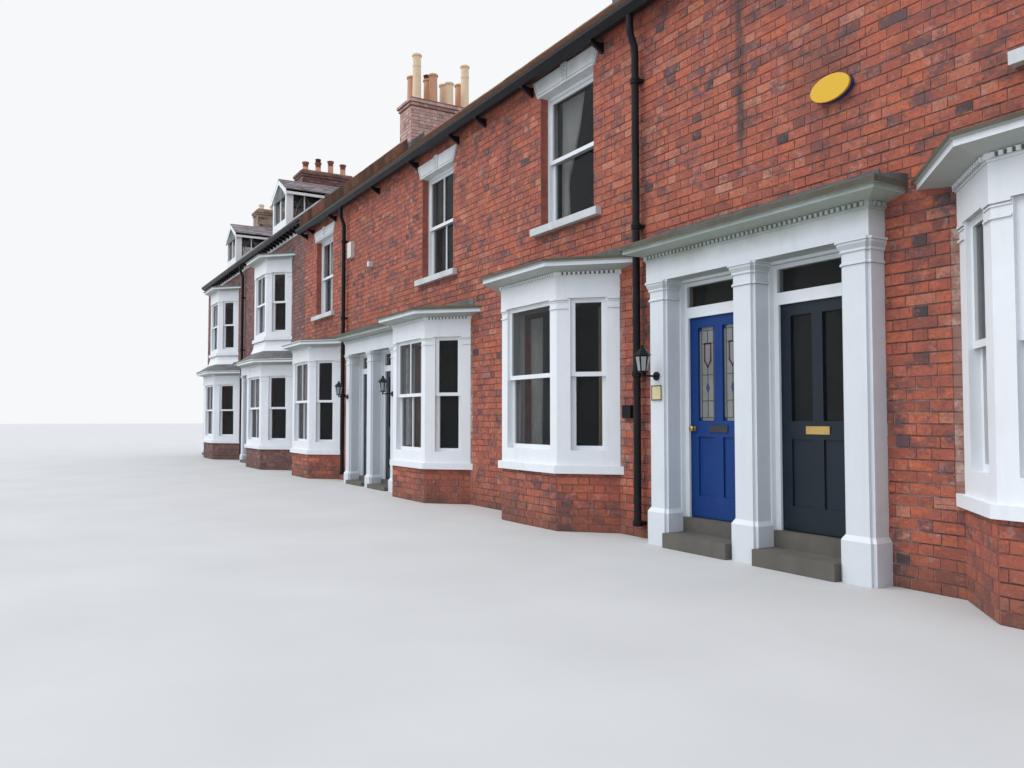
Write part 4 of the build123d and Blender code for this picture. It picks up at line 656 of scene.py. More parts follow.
def leave(pieces, hole):
    """Rectangles (left, right, low, high) less one hole."""
    left, right, low, high = hole
    kept = []
    for a, b, c, d in pieces:
        if b <= left or a >= right or d <= low or c >= high:
            kept.append((a, b, c, d))
            continue
        if c < low:
            kept.append((a, b, c, low))
        if d > high:
            kept.append((a, b, high, d))
        c, d = max(c, low), min(d, high)
        if a < left:
            kept.append((a, left, c, d))
        if b > right:
            kept.append((right, b, c, d))
    return kept


def clip(outline, limit):
    """The part of a polygon where limit(point) is not below zero."""
    kept = []
    for index, point in enumerate(outline):
        before = outline[index - 1]
        a, b = limit(before), limit(point)
        if (a < 0) != (b < 0):
            share = a / (a - b)
            kept.append(tuple(start + share * (end - start) for start, end in zip(before, point)))
        if b >= 0:
            kept.append(point)
    return kept


def bricks(rng, left, right, low, high, holes=(), limits=()):
    """Flemish bond on a flat wall, as (outline, tone): headers and stretchers by turns."""
    laid = []
    pitch = BRICK + HEADER + 2 * UPRIGHT_JOINT
    for row in range(int(low / COURSE), int(high / COURSE) + 1):
        base = row * COURSE + JOINT / 2
        top = (row + 1) * COURSE - JOINT / 2
        place = left - pitch + (row % 2) * pitch / 2 + rng.uniform(-0.01, 0.01)
        header = False
        while place < right:
            length = HEADER if header else BRICK
            tone = clay_tone(rng, 0.56, 0.21)
            if header and rng.random() < 0.05:
                tone = rng.uniform(0.0, 0.2)
            lift = rng.uniform(-UNEVEN, UNEVEN)
            end = min(place + length, right)
            cut = [(max(place, left), end, max(base + lift, low), min(top + lift, high))]
            for hole in holes:
                cut = leave(cut, hole)
            for a, b, c, d in cut:
                if b - a < 0.02 or d - c < 0.015:
                    continue
                outline = oblong(a, b, c, d)
                for limit in limits:
                    outline = clip(outline, limit)
                if len(outline) > 2:
                    laid.append((outline, tone))
            place += length + UPRIGHT_JOINT
            header = not header
    return laid


def holes_in(names, near, far):
    """What stands at the wall between two depths, as (left, right, low, high)."""
    return [(low[0], high[0], low[2], high[2]) for name in names for low, high in islands(name)
            if low[1] <= far and high[1] >= near]


def lay_walls():
    """Brickwork on the four sides of the row; a doorway over a step is open down to the ground."""
    front = holes_in(["window_frames", "bay_plinths", "bay_frames_a_d", "bay_frames_e_f", "upper_bay_frames",
                      "bay_skirts", "door_frames"], FRONT - 1, FRONT + 0.3)
    steps = holes_in(["door_steps"], FRONT - 1, FRONT + 0.3)
    front += [(left, right, 0, high) for left, right, _, high in front
              if any(left > a - 0.1 and right < b + 0.1 for a, b, _, _ in steps)]
    rear = holes_in(["rear_window_frames", "rear_doors"], REAR - 0.5, REAR + 1)
    rear = [(-right, -left, low, high) for left, right, low, high in rear]
    walls = (("front_a_d", "Y", -1, FRONT, LINE_DE, END_A), ("front_e_f", "Y", -1, FRONT, END_F, LINE_DE),
             ("rear_a_d", "Y", 1, REAR, -END_A, -LINE_DE), ("rear_e_f", "Y", 1, REAR, -LINE_DE, -END_F),
             ("end_a", "X", 1, END_A, FRONT, REAR), ("end_f", "X", -1, END_F, -REAR, -FRONT))
    rng = random.Random(7)
    for seed, (name, axis, turn, level, left, right) in enumerate(walls, 1):
        taller = name in ("front_a_d", "rear_a_d", "end_a")
        eaves = EAVES_AD if taller else EAVES_EF

        def under_front(point):
            return eaves - 0.05 + SLOPE * (turn * point[0] - FRONT) - point[1]

        def under_rear(point):
            return eaves - 0.05 + SLOPE * (REAR - turn * point[0]) - point[1]

        if axis == "Y":
            laid = bricks(rng, left, right, 0, eaves - 0.04, front if turn < 0 else rear)
        else:
            laid = bricks(rng, left, right, 0, eaves + SLOPE * DEPTH / 2, (), (under_front, under_rear))
        mesh = Mesh()
        mesh.raised(laid, facing(axis, turn, level), random.Random(seed))
        mesh.piece("bricks_" + name, "bricks_warm" if taller else "bricks_brown", "red_brick")


def four_sides(far, near, front, back):
    """Each side of an upright block: how it faces, its level, and its left and right from outside."""
    return (("Y", -1, front, far, near), ("Y", 1, back, -near, -far),
            ("X", 1, near, front, back), ("X", -1, far, -back, -front))


def lay_stacks():
    """Brickwork on the chimney stacks above the roof, out to the corbels."""
    rng = random.Random(17)
    stacks = sorted(islands("chimney_stacks"), key=lambda box: -box[0][0])
    for number, (low, high) in enumerate(stacks):
        first, last = number == 0, number == len(stacks) - 1
        top = high[2] - FLAUNCHING
        neck = top - 2 * CORBEL_COURSE
        eaves = EAVES_AD if low[0] > LINE_DE - 1 else EAVES_EF
        near = high[0] - (0 if first else SHAFT_INSET)
        far = low[0] + (0 if last else SHAFT_INSET)
        front, back = low[1] + SHAFT_INSET, high[1] - SHAFT_INSET

        def roof_at(y):
            return eaves + SLOPE * min(y - FRONT, REAR - y) - 0.05

        mesh = Mesh()
        for axis, turn, level, left, right in four_sides(far, near, front, back):
            def over_roof(point):
                return point[1] - roof_at(turn * point[0])

            if axis == "Y":
                laid = bricks(rng, left, right, roof_at(level), neck)
            else:
                laid = bricks(rng, left, right, EAVES_AD, neck, (), [over_roof])
            mesh.raised(laid, facing(axis, turn, level), rng)
        for course in (1, 2):
            reach = course * CORBEL
            foot = top - (3 - course) * CORBEL_COURSE + JOINT / 2
            head = foot + CORBEL_COURSE - JOINT
            sides = four_sides(far - (0 if last else reach), near + (0 if first else reach), front - reach,
                               back + reach)
            for axis, turn, level, left, right in sides:
                laid = []
                while left < right - 0.03:
                    length = BRICK if rng.random() < 0.6 else HEADER
                    stop = min(left + length, right)
                    laid.append((oblong(left, stop, foot, head), clay_tone(rng, 0.5, 0.22)))
                    left = stop + JOINT
                mesh.raised(laid, facing(axis, turn, level), rng)
        look = "bricks_rosy" if eaves == EAVES_AD else "bricks_buff" if last else "bricks_brown"
        mesh.piece(f"bricks_stack_{number + 1}", look, "red_brick")


# Roofing
def lay_roofs():
    """Plain tiles on the four slopes, left open where the dormers stand."""
    dormers = islands("dormer_walls")
    run = DEPTH / 2 + OVERHANG
    length = math.hypot(run, SLOPE * run)
    cos, sin = run / length, SLOPE * run / length

    def in_dormer(u, v):
        y = FRONT - OVERHANG + v * cos
        return any(low[0] + 0.09 < u < high[0] - 0.09 and low[1] < y < high[1] for low, high in dormers)

    high_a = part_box("roof_front_a_d")[1].x
    low_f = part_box("roof_front_e_f")[0].x
    roofs = (("front_a_d", -1, FRONT, STEP_X, high_a, EAVES_AD, None),
             ("rear_a_d", 1, REAR, -high_a, -STEP_X, EAVES_AD, None),
             ("front_e_f", -1, FRONT, low_f, STEP_X, EAVES_EF, in_dormer),
             ("rear_e_f", 1, REAR, -STEP_X, -low_f, EAVES_EF, None))
    for seed, (name, turn, level, left, right, eaves, skip) in enumerate(roofs, 21):
        wall = facing("Y", turn, level)

        def place(u, v, out):
            return wall(u, eaves - SLOPE * OVERHANG + v * sin + out * cos, OVERHANG - v * cos + out * sin)

        mesh = Mesh()
        mesh.tiled(place, random.Random(seed), left, right, length - 0.06, TILE_WIDTH, TILE_GAUGE, skip)
        mesh.piece("tiles_" + name, "clay_tiles", "clay_tile")


# Bays, porches and their cornices
def bay_plans():
    """Each bay's middle, half front and projection, from its plinth."""
    plans = []
    for low, high in islands("bay_plinths"):
        middle, half = across(low, high)
        projection = FRONT - low[1]
        plans.append((middle, half - projection, projection))
    return plans


def plan_at(low, high):
    """The plan of the bay that a solid belongs to, which is smaller on the first floor."""
    middle, _ = across(low, high)
    plan = min(bay_plans(), key=lambda plan: abs(plan[0] - middle))
    return (plan[0], UPPER_HALF, UPPER_PROJECTION) if high[2] > FIRST_FLOOR_TOPS else plan


def faces_between(corners):
    """The faces between corners: where each starts, the way along it, the way out, and its length."""
    faces = []
    points = [Vector((x, y, 0)) for x, y in corners]
    for start, end in zip(points, points[1:]):
        along = (end - start).normalized()
        faces.append((start, along, Vector((along.y, -along.x, 0)), (end - start).length))
    return faces


def bay_faces(plan, reach=0.0):
    """The three faces of a bay."""
    x, half, projection = plan
    front = half + reach * CORNER
    wide = half + projection + reach * DIAGONAL
    y = FRONT - projection - reach
    return faces_between([(x - wide, FRONT), (x - front, y), (x + front, y), (x + wide, FRONT)])


def flat_faces(left, right, y):
    """The three faces of a flat-fronted piece."""
    return faces_between([(left, FRONT), (left, y), (right, y), (right, FRONT)])


def band(mesh, face, left, right, low, high, thick):
    """A flat strip on a face, between two places along it and two heights."""
    start, along, out, _ = face
    corners = [start + along * u + Vector((0, 0, z)) for u, z in oblong(left, right, low, high)]
    mesh.prism(corners, out * thick)


def lay_plinths():
    """Brickwork on the three faces of each bay's plinth."""
    rng = random.Random(31)
    tops = [high[2] for _, high in islands("bay_plinths")]
    for number, (plan, top) in enumerate(zip(bay_plans(), tops)):
        mesh = Mesh()
        for start, along, out, length in bay_faces(plan):
            def place(u, v, height):
                return start + along * u + out * height + Vector((0, 0, v))

            mesh.raised(bricks(rng, 0.003, length - 0.003, 0, top), place, rng)
        look = "bricks_warm" if plan[0] > LINE_DE else "bricks_brown"
        mesh.piece(f"bricks_bay_{number + 1}", look, "red_brick")


def dentils(mesh, gaps, faces, low):
    """A row of dentils around the band of a cornice, with a strip of painted shadow between them."""
    foot, head = low + 0.004, low + BAND_HEIGHT - 0.004
    for face in faces:
        count = int((face[3] - DENTIL) / DENTIL_PITCH)
        if count < 1:
            continue
        row = (count - 1) * DENTIL_PITCH + DENTIL
        left = (face[3] - row) / 2
        for number in range(count):
            place = left + number * DENTIL_PITCH
            band(mesh, face, place, place + DENTIL, foot, head, DENTIL_OUT)
        # A dark strip behind the dentils: painted shadow in the gaps.
        band(gaps, face, left, left + row, foot, head, 0.002)


def cover(mesh, faces, top, deep):
    """The turned-down edge of the covering on a cornice."""
    for face in faces:
        band(mesh, face, 0, face[3], top - deep, top + 0.003, 0.004)


def trim_cornices():
    """Dentils, and the dark edge of the covering on top of each cornice."""
    mesh, porch_mesh, gaps, edges = Mesh(), Mesh(), Mesh(), Mesh()
    for low, high in islands("bay_cornices"):
        kind = "bay" if low[0] > LINE_DE else "ef"
        if high[2] > FIRST_FLOOR_TOPS:
            kind = "upper"
        plan = plan_at(low, high)
        dentils(mesh, gaps, bay_faces(plan, BAND_REACH), high[2] - FRIEZE_BELOW_TOP[kind] + BEAD_HEIGHT)
        if kind != "ef":
            cover(edges, bay_faces(plan, FRONT - plan[2] - low[1]), high[2], CAPPING[kind])
    for name in ("porch_a_b", "porch_c_d", "porches_e_f"):
        for low, high in islands(name):
            inset = PORCH_CORNICE - BAND_REACH
            faces = flat_faces(low[0] + inset, high[0] - inset, FRONT - PORCH_PROJECTION - BAND_REACH)
            dentils(porch_mesh, gaps, faces, high[2] - FRIEZE_BELOW_TOP["porch"] + BEAD_HEIGHT)
            cover(edges, flat_faces(low[0], high[0], low[1]), high[2], CAPPING["porch"])
    mesh.piece("cornice_dentils", "white_paint", "white_paint")
    porch_mesh.piece("porch_dentils", "shaded_porch_paint", "white_paint")
    gaps.piece("dentil_gaps", "painted_shadow", "white_paint")
    edges.piece("cornice_edges", "mossy_capping", "lead")


def trim_posts():
    """Small mouldings around the posts of the bays, below their friezes."""
    mesh = Mesh()
    for name, post in POSTS.items():
        for low, high in islands(name):
            for face in bay_faces(plan_at(low, high)):
                for left, right in ((-0.004, post), (face[3] - post, face[3] + 0.004)):
                    for head, foot, reach in POST_MOULDINGS:
                        band(mesh, face, left, right, high[2] - foot, high[2] - head, reach)
    mesh.piece("post_capitals", "white_paint", "white_paint")


# Curtains
def drape(name, look, x, y, widths, low, high, cloth, folds):
    """A gathered curtain from x on; its width changes from top to bottom, its cloth does not."""
    rows, steps = 36, folds * 10
    share = np.linspace(0, 1, steps + 1)
    points, faces = [], []
    for row in range(rows + 1):
        drop = row / rows
        width = np.interp(drop, *zip(*widths))
        thin, thick = 0.0, 0.12
        for _ in range(24):
            depth = (thin + thick) / 2
            wave = depth * np.sin(2 * math.pi * folds * share + 0.8 * math.sin(3 * drop))
            run = np.hypot(np.diff(share * width), np.diff(wave)).sum()
            thin, thick = (depth, thick) if run < cloth else (thin, depth)
        points += [(x + u * width, y + out, high - (high - low) * drop) for u, out in zip(share, wave)]
    for row in range(rows):
        for step in range(steps):
            a = row * (steps + 1) + step
            faces.append((a, a + 1, a + steps + 2, a + steps + 1))
    mesh = Mesh()
    mesh.add(points, faces)
    made = mesh.piece(name, look)
    made.data.shade_smooth()


def hang_curtains():
    """The curtains that show through the glass of houses B, C and D."""
    tied = [(0, 0.48), (0.25, 0.38), (0.50, 0.24), (0.62, 0.15), (0.70, 0.14), (1, 0.17)]
    whole = [(0, 0.95), (1, 0.95)]
    straight = [(0, 0.36), (1, 0.34)]
    for house, left, inside, widths, cloth, folds in (("b", 6, 0.055, tied, 0.62, 8),
                                                      ("d", -3, 0.045, whole, 1.05, 14)):
        low, high = [box for box in islands("window_frames") if left < box[0][0] < left + 1][0]
        drape(f"curtain_{house}_upper", "net_curtain", low[0] + 0.06, high[1] + inside, widths, low[2] + 0.05,
              high[2] - 0.03, cloth, folds)
    for number, (x, half, _) in enumerate(bay_plans()):
        if LINE_DE < x < 8:
            top = 2.45 if x > 5 else 2.32
            for side, look, left in (("left", "net_curtain", x - half - 0.36),
                                     ("right", "ochre_curtain", x + half - 0.04)):
                drape(f"curtain_bay_{number}_{side}", look, left, FRONT + 0.10, straight, 0.75, top, 0.52, 7)


# Lead, and the tiles that end and cap the roofs
def flash_roofs():
    """Lead turned up the wall over each bay and porch, and along the stacks."""
    mesh = Mesh()
    for name, rise in (("bay_roofs", 0.075), ("porch_roofs", 0.085)):
        for low, high in islands(name):
            mesh.box((low[0] + 0.22, FRONT - 0.016, high[2] - 0.04),
                     (high[0] - 0.22, FRONT - 0.002, high[2] + rise))
    for low, high in islands("chimney_stacks"):
        eaves = EAVES_AD if low[0] > LINE_DE - 1 else EAVES_EF
        left, right, front = low[0] + SHAFT_INSET, high[0] - SHAFT_INSET, low[1] + SHAFT_INSET
        foot, top = (eaves + SLOPE * (y - FRONT) for y in (front, RIDGE))
        mesh.box((left, front - 0.012, foot - 0.02), (right, front, foot + FLASHING))
        for x in (left - 0.010, right):
            if END_F < x < END_A - 0.02:
                mesh.prism([(x, front, foot), (x, RIDGE, top), (x, RIDGE, top + FLASHING),
                            (x, front, foot + FLASHING)], (0.010, 0, 0))
    mesh.piece("lead_flashings", "lead_mossy", "lead")


def end_tiles():
    """Tiles hung on the step from the lower roof up to the higher one."""
    mesh = Mesh()
    rng = random.Random(71)
    low_z, top_z = EAVES_AD - SLOPE * OVERHANG, EAVES_EF - SLOPE * OVERHANG
    run = DEPTH / 2 + OVERHANG
    rows = int(run / 0.09)
    for eaves_y in (FRONT - OVERHANG, REAR + OVERHANG):
        for row in range(rows):
            (y0, rise0), (y1, rise1) = ((eaves_y + (RIDGE - eaves_y) * share, SLOPE * run * share)
                                        for share in (row / rows, (row + 1) / rows))
            mesh.prism([(STEP_X, y0, low_z + rise0 + STEP_FOOT), (STEP_X, y1, low_z + rise1 + STEP_FOOT),
                        (STEP_X, y1, top_z + rise1), (STEP_X, y0, top_z + rise0)],
                       (0.012 + 0.006 * (row % 2), 0, 0), rng.uniform(0.1, 0.7))
    mesh.piece("step_tiles", "clay_tiles", "clay_tile")


def cap_ridges():
    """Ridge tiles in lengths, each a little proud of the one beneath it."""
    rng = random.Random(41)
    mesh = Mesh()
    for low, high in islands("ridge_tiles"):
        x, top = low[0], high[2]
        middle, half = across(low, high, 1)
        while x < high[0] - 0.05:
            end = min(x + RIDGE_TILE, high[0])
            lift = rng.uniform(0.003, 0.010)
            outline = []
            for turns, wide, level in ((range(7), 1.03, top + lift), (range(6, -1, -1), 1, top - 0.02)):
                for turn in turns:
                    share = turn / 3 - 1
                    drop = half * SLOPE * abs(share) ** 1.5
                    outline.append((x + 0.003, middle + share * half * wide, level - drop))
            mesh.prism(outline, (end - x - 0.006, 0, 0), clay_tone(rng, 0.45, 0.2))
            x = end
    mesh.piece("ridge_caps", "clay_tiles", "clay_tile")


# Rainwater pipes and chimney pots, rounder than the model's own
def round_pipes():
    """Round pipes with collars, and a swan neck under each gutter."""
    mesh = Mesh()
    for low, high in islands("downpipes"):
        out, face = (1, REAR) if low[1] > 0 else (-1, FRONT)
        x, _ = across(low, high)
        wall = face + out * PIPE_SETOUT
        under = face + out * (GUTTER_BACK + PIPE_RADIUS)
        bend = high[2] - NECK_RISE
        middle = bend + NECK_RISE / 2
        route = [(x, wall, low[2]), (x, wall, bend - 0.05)]
        route += [Vector((x, wall, bend)).lerp(Vector((x, under, middle)), share)
                  for share in (0.12, 0.3, 0.7, 0.88)]
        route += [(x, under, middle + 0.05), (x, under, high[2])]
        mesh.tube([(point, PIPE_RADIUS) for point in route], 20)
        height = low[2]
        while height < bend:
            mesh.turned(COLLAR, (x, wall, height), PIPE_RADIUS, 20)
            mesh.box((x - COLLAR_RADIUS, min(face, wall), height + 0.015),
                     (x + COLLAR_RADIUS, max(face, wall), height + 0.045))
            height += COLLAR_PITCH
    made = mesh.piece("rainwater_pipes", "black_iron", "black_iron")
    smooth_by_angle(made)
    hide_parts("downpipes")


def near_one(value, heights):
    """Whether a value is one of the heights."""
    return any(abs(value - height) < 0.005 for height in heights)


def turn_pots():
    """Pots of several kinds, with rolled rims; a few carry dark collars or caps."""
    cream, red, dark = Mesh(), Mesh(), Mesh()
    for low, high in islands("chimney_pots"):
        (x, radius), (y, _) = across(low, high), across(low, high, 1)
        top, tall = (x, y, high[2]), high[2] - low[2]
        mesh = cream if near_one(tall, CREAM_POTS) else red
        base = [(-0.008, -tall), (-0.008, 0.05 - tall), (-0.016, 0.06 - tall)]
        waist = POT_WAIST if tall > 1 else ()
        mesh.turned([*base, *waist, *POT_RIM], top, radius, 28)
        if radius < 0.11 and mesh is red:
            dark.turned(POT_COLLAR, top, radius, 28)
        if near_one(tall, COWLED_POTS):
            dark.turned([*POT_COWL, (0.03 - radius, 0.125), (-radius, 0.128)], top, radius)
            for level in (0.012, 0.030, 0.048):
                dark.turned([(-0.036, level), (-0.022, level + 0.004), (-0.036, level + 0.010)], top, radius)
    made = cream.piece("pots_cream", "pot_cream", "chimney_clay")
    smooth_by_angle(made)
    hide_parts("chimney_pots")
    smooth_by_angle(red.piece("pots_red", "pot_terracotta", "chimney_clay"))
    smooth_by_angle(dark.piece("pot_collars", "pot_dark", "chimney_clay"))


# Dormers
def arch(mesh, x, middle, turn, low, high):
    """A curved glazing bar in a dormer's cheek, beside its upright one."""
    route = []
    for step in range(7):
        share = step / 6
        y = middle + turn * (0.20 * (1 - share ** 2.2) + 0.02)
        route.append((y, low[2] + (high[2] - low[2]) * share))
    for (y0, z0), (y1, z1) in zip(route, route[1:]):
        floor = low[2] + SLOPE * (max(y0, y1) - low[1])
        if z0 > floor and low[1] < min(y0, y1) and max(y0, y1) < high[1]:
            mesh.prism([(x, y0 - 0.008, z0), (x, y0 + 0.008, z0), (x, y1 + 0.008, z1), (x, y1 - 0.008, z1)],
                       (0.010, 0, 0))


def dress_dormers():
    """Slates, bargeboards, glazing bars, and a painted shadow in each gable under its bargeboards."""
    rng = random.Random(61)
    slates, white, shadow = Mesh(), Mesh(), Mesh()
    for low, high in islands("dormer_roofs"):
        middle, half = across(low, high)
        front, apex = low[1], high[2]
        tip = apex - half * DORMER_SLOPE
        rise = math.hypot(half, half * DORMER_SLOPE)
        cos, sin = half / rise, half * DORMER_SLOPE / rise

        def under_roof(u, v):
            return EAVES_EF + SLOPE * (u - FRONT) > tip + v * sin + 0.02

        def to_roof(z):
            return (z - EAVES_EF) / SLOPE - (front - FRONT)

        for side in (-1, 1):
            def place(u, v, out):
                return (middle + side * (half - v * cos + out * sin), u, tip + v * sin + out * cos)

            slates.tiled(place, rng, front, high[1], rise - 0.01, SLATE_WIDTH, SLATE_GAUGE, under_roof)
            edge = middle + side * half
            white.plate([(middle, apex - 0.025), (edge, tip - 0.025), (edge, tip - 0.145),
                         (middle, apex - 0.145)], front - 0.004, 0.030)
            left, right = sorted((edge, edge - side * 0.025))
            white.box((left, front + 0.026, tip - 0.125), (right, front + to_roof(tip - 0.14), tip - 0.012))
        # Painted shadow: a dark plate in the gable, where the bargeboards would shade it.
        shadow.plate([(middle - half + 0.16, tip - 0.150), (middle + half - 0.16, tip - 0.150),
                      (middle, apex - 0.150)], front + 0.020, 0.008)
        slates.plate([(middle - 0.09, apex - 0.035), (middle, apex + 0.012), (middle + 0.09, apex - 0.035)],
                     front - 0.004, to_roof(apex) + 0.02, 0.3)
    for low, high in islands("dormer_glass"):
        if high[1] - low[1] > high[0] - low[0]:
            out = low[0] - 0.012
            y = low[1] + 0.40 * (high[1] - low[1])
            white.box((out, y - 0.014, low[2] + SLOPE * (y - low[1])), (high[0] + 0.012, y + 0.014, high[2]))
            for turn in (-1, 1):
                arch(white, out, y, turn, low, high)
        else:
            x, _ = across(low, high)
            white.box((x - 0.030, low[1] - 0.020, low[2]), (x + 0.030, high[1] + 0.01, high[2]))
    slates.piece("dormer_slates", "dormer_slates", "slate")
    white.piece("dormer_boards", "white_paint", "white_paint")
    shadow.piece("dormer_recesses", "dark_paint", "dark_paint")


# Small things on the front
def eaves_band():
    """A pale band behind the brackets of houses E and F, and the horns of the upper sashes."""
    mesh = Mesh()
    floor = EAVES_EF - GUTTER_BELOW_EAVES
    mesh.box((END_F + 0.01, FRONT - 0.012, floor - 0.115), (STEP_X - 0.01, FRONT + 0.002, floor - 0.006))
    for low, high in islands("window_sashes"):
        if low[1] < 0 and high[2] > UPPER_SASH_TOPS:
            foot = low[2] - 0.052
            for x in (low[0], high[0] - 0.042):
                mesh.plate([(x, low[2]), (x + 0.042, low[2]), (x + 0.036, foot), (x + 0.006, foot)],
                           low[1] + 0.003, 0.034)
    mesh.piece("eaves_band_and_horns", "white_paint", "white_paint")


def around(x, z, reach, angle):
    """A point at a distance from (x, z), by an angle in degrees."""
    return (x + reach * math.cos(math.radians(angle)), z + reach * math.sin(math.radians(angle)))


def keystone(stones, hollows, x, y, foot, top):
    """The block in the middle of a lintel, tapered and carved with four pairs of curled leaves; painted
    shadow marks the eye of each curl and a slit between each pair.
    """
    front = y - KEYSTONE_PROUD
    stones.plate([(x - 0.050, foot), (x + 0.050, foot), (x + 0.068, top), (x - 0.068, top)], front,
                 KEYSTONE_PROUD)
    stones.box((x - 0.055, front - 0.002, top), (x + 0.055, y, top + 0.016))
    for row in range(4):
        z = foot + 0.036 + row * 0.047
        for turn in (-1, 1):
            middle = x + turn * (0.020 + 0.003 * row)
            for step in range(7):
                outer = 0.019 - 0.001 * step
                ring = ((0.010, 0), (outer, 0), (outer, 1), (0.010, 1))
                stones.plate([around(middle, z, turn * reach, turn * (40 * (step + end) - 80))
                              for reach, end in ring], front - 0.005, 0.005)
            # Painted shadow in the eye of each curl, and below in the slit between the pair.
            hollows.plate([around(middle, z, 0.009, 60 * side) for side in range(6)], front - 0.001, 0.001)
        hollows.box((x - 0.003, front - 0.001, z + 0.010), (x + 0.003, front, z + 0.034))


def carve_lintels():
    """A line of painted shadow round the face of each stone lintel, where a sunk line would be, the edge
    below it, and the keystone.
    """
    stones, hollows = Mesh(), Mesh()
    for low, high in islands("window_lintels"):
        if low[1] > 0 or high[2] < FIRST_FLOOR_TOPS:
            continue
        x, half = across(low, high)
        y, foot, top = low[1], low[2], high[2]
        for turn in (-1, 1):
            near, end = x + turn * 0.052, x + turn * (half - LINTEL_FLARE)
            inner = end - turn * 0.012
            stones.box((min(near, end), y - 0.006, foot + 0.002), (max(near, end), y, foot + 0.028))
            # Painted shadow: dark strips stand in for the sunk line above the edge and up the flared ends.
            hollows.box((min(near, inner), y - 0.001, foot + 0.028), (max(near, inner), y, foot + 0.039))
            line = [(inner, foot + 0.030), (end - turn * 0.018, foot + 0.030),
                    (x + turn * (half - 0.034), top), (x + turn * (half - 0.028), top)]
            hollows.plate(line, y - 0.001, 0.001)
        keystone(stones, hollows, x, y, foot, top)
    stones.piece("lintel_carving", "white_stone", "white_stone")
    hollows.piece("lintel_hollows", "painted_shadow", "white_stone")


def fit_lanterns():
    """Glass panes in the lanterns, and a frame around the number plate."""
    panes, rim = Mesh(), Mesh()
    corners = [Vector((math.cos(math.pi / 3 * turn), math.sin(math.pi / 3 * turn))) for turn in range(7)]
    for low, high in islands("lanterns"):
        if high[2] - low[2] < 0.2:
            continue
        x, _ = across(low, high)
        y, foot = FRONT - PORCH_PROJECTION - LANTERN_REACH, high[2] - LANTERN_TALL
        for first, second in zip(corners, corners[1:]):
            pane = []
            for level, radius in ((0.018, 0.049), (0.148, 0.073)):
                for share in (0.16, 0.84):
                    corner = first.lerp(second, share) * radius
                    pane.append((x + corner.x, y + corner.y, foot + level))
            panes.add([pane[0], pane[1], pane[3], pane[2]], [(0, 1, 2, 3)])
    panes.piece("lantern_panes", "lantern_glass", "black_iron")
    low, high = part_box("number_plate")
    for a, b, c, d in ((low.x, high.x, low.z, low.z + 0.010), (low.x, high.x, high.z - 0.010, high.z),
                       (low.x, low.x + 0.010, low.z, high.z), (high.x - 0.010, high.x, low.z, high.z)):
        rim.box((a, low.y - 0.002, c), (b, low.y + 0.001, d))
    rim.piece("number_plate_rim", "black_fittings", "black_iron")


def strip(mesh, route, depth, width=0.005, close=False):
    """Narrow strips along a route of (across, up) points, on a plane at a depth."""
    for (x0, z0), (x1, z1) in zip(route, route[1:] + route[:1] if close else route[1:]):
        start, end = Vector((x0, z0)), Vector((x1, z1))
        along = (end - start).normalized() * width / 2
        side = Vector((-along.y, along.x))
        mesh.plate([start - along - side, end + along - side, end + along + side, start - along + side],
                   depth - 0.003, 0.003)


def lead_lights(name, body):
    """Leaded glass in a front door: a border, a dark red shield and a blue diamond below it."""
    leads, reds, blues = Mesh(), Mesh(), Mesh()
    for low, high in islands(name):
        (x, wide), (z, tall) = across(low, high), across(low, high, 2)
        inner, upper = wide - LEAD_BORDER, tall - LEAD_BORDER
        depth = low[1] - 0.0005
        strip(leads, oblong(x - inner, x + inner, z - upper, z + upper), depth, close=True)
        for turn, rise in ((-1, -1), (-1, 1), (1, -1), (1, 1)):
            corner = (x + turn * inner, z + rise * upper)
            for end in ((corner[0], z + rise * tall), (x + turn * wide, corner[1])):
                strip(leads, [end, corner], depth)
            left, right = sorted((corner[0], x + turn * wide))
            foot, top = sorted((corner[1], z + rise * tall))
            blues.box((left, depth - 0.001, foot), (right, depth, top))
        shield_z, gem_z = z + 0.42 * tall, z - 0.30 * tall
        half = min(0.040, wide * 0.6)
        strip(reds, [(x - half, shield_z + 0.10), (x + half, shield_z + 0.10), (x + half, shield_z - 0.06),
                     (x, shield_z - 0.12), (x - half, shield_z - 0.06)], depth, width=0.014, close=True)
        for start, end in ((shield_z - 0.12, gem_z + 0.05), (gem_z - 0.05, z - upper),
                           (shield_z + 0.10, z + upper)):
            strip(leads, [(x, start), (x, end)], depth)
        for level in (shield_z + 0.10, z - 0.02 * tall, gem_z - 0.12):
            strip(leads, [(x - inner, level), (x + inner, level)], depth)
        gem = [(x - 0.018, gem_z), (x, gem_z - 0.048), (x + 0.018, gem_z), (x, gem_z + 0.048)]
        strip(leads, gem, depth, close=True)
        blues.plate(gem, depth - 0.001, 0.001)
    leads.piece(name + "_leads", "lead_came", "window_glass", body)
    reds.piece(name + "_red", "red_glass", "window_glass", body)
    blues.piece(name + "_blue", "blue_glass", "window_glass", body)


def brass_knob(name):
    """The knob of a door's fittings in brass; the letter plate keeps its black."""
    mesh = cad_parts[name].data
    mesh.materials.append(MATERIALS["brass"])
    low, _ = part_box(name)
    for face in mesh.polygons:
        face.material_index = 1 if face.center.x < low.x + 0.09 else 0


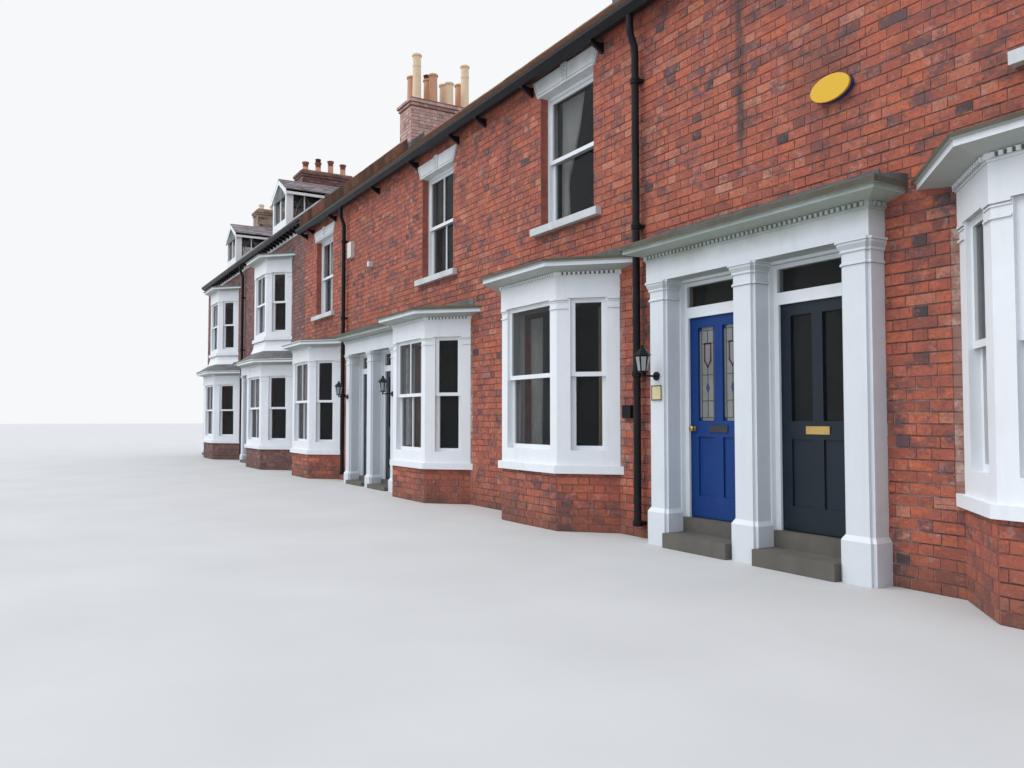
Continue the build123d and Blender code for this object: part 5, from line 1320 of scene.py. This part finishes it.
def stage():
    """A plain pale floor under soft light."""
    s = Shader("floor_pale")
    fine = s.noise(0.8, 3, 0.5)
    s.bumps((fine, 0.001))
    mesh = bpy.data.meshes.new("floor")
    corners = oblong(-FLOOR_REACH, FLOOR_REACH, -FLOOR_REACH, FLOOR_REACH)
    mesh.from_pydata([(x, y, 0) for x, y in corners], [], [(0, 1, 2, 3)])
    colour = s.layers((0.50, 0.50, 0.49), (fine, 1.0, 0.3, 0.7, (0.54, 0.54, 0.53)))
    mesh.materials.append(s.done(colour, 0.9))
    new_object("floor", mesh)
    s = Shader("sky", "worlds")
    bpy.context.scene.world = s.owner
    s.place = s.add("TexCoord").outputs["Generated"]
    nodes = s.tree.nodes
    light = nodes["Background"]
    sky = s.layers((0.16, 0.17, 0.15), (s.part("Z"), 1.0, 0.02, 0.55, (0.92, 0.98, 1.10)))
    s.put(light.inputs["Color"], sky)
    s.put(light.inputs["Strength"], SKY_STRENGTH)
    shown = s.add("Background", {"Color": (0.93, 0.94, 0.95), "Strength": 1.0})
    path = s.add("LightPath").outputs
    seen = path["Is Camera Ray"]
    for kind in ("Is Glossy Ray", "Is Transmission Ray"):
        seen = s.sum("MAXIMUM", seen, path[kind])
    mixed = s.add("MixShader", {"Fac": seen, 1: light.outputs["Background"], 2: shown.outputs["Background"]})
    s.put(nodes["World Output"].inputs["Surface"], mixed.outputs["Shader"])
    sun = bpy.data.lights.new("daylight", "SUN")
    sun.energy = SUN_STRENGTH
    sun.angle = math.radians(50)
    sun.color = (1.0, 0.97, 0.93)
    lamp = new_object("daylight", sun)
    lamp.rotation_euler = Vector((0.35, 0.75, -0.95)).to_track_quat("-Z", "Y").to_euler()


camera()
stage()
dress_nodes()
lay_walls()
lay_stacks()
lay_roofs()
lay_plinths()
trim_cornices()
trim_posts()
hang_curtains()
flash_roofs()
end_tiles()
cap_ridges()
round_pipes()
turn_pots()
dress_dormers()
eaves_band()
carve_lintels()
fit_lanterns()
lead_lights("door_b_glass", "door_b")
brass_knob("door_b_fittings")

bpy.context.scene.view_settings.view_transform = "Standard"
bpy.context.view_layer.update()
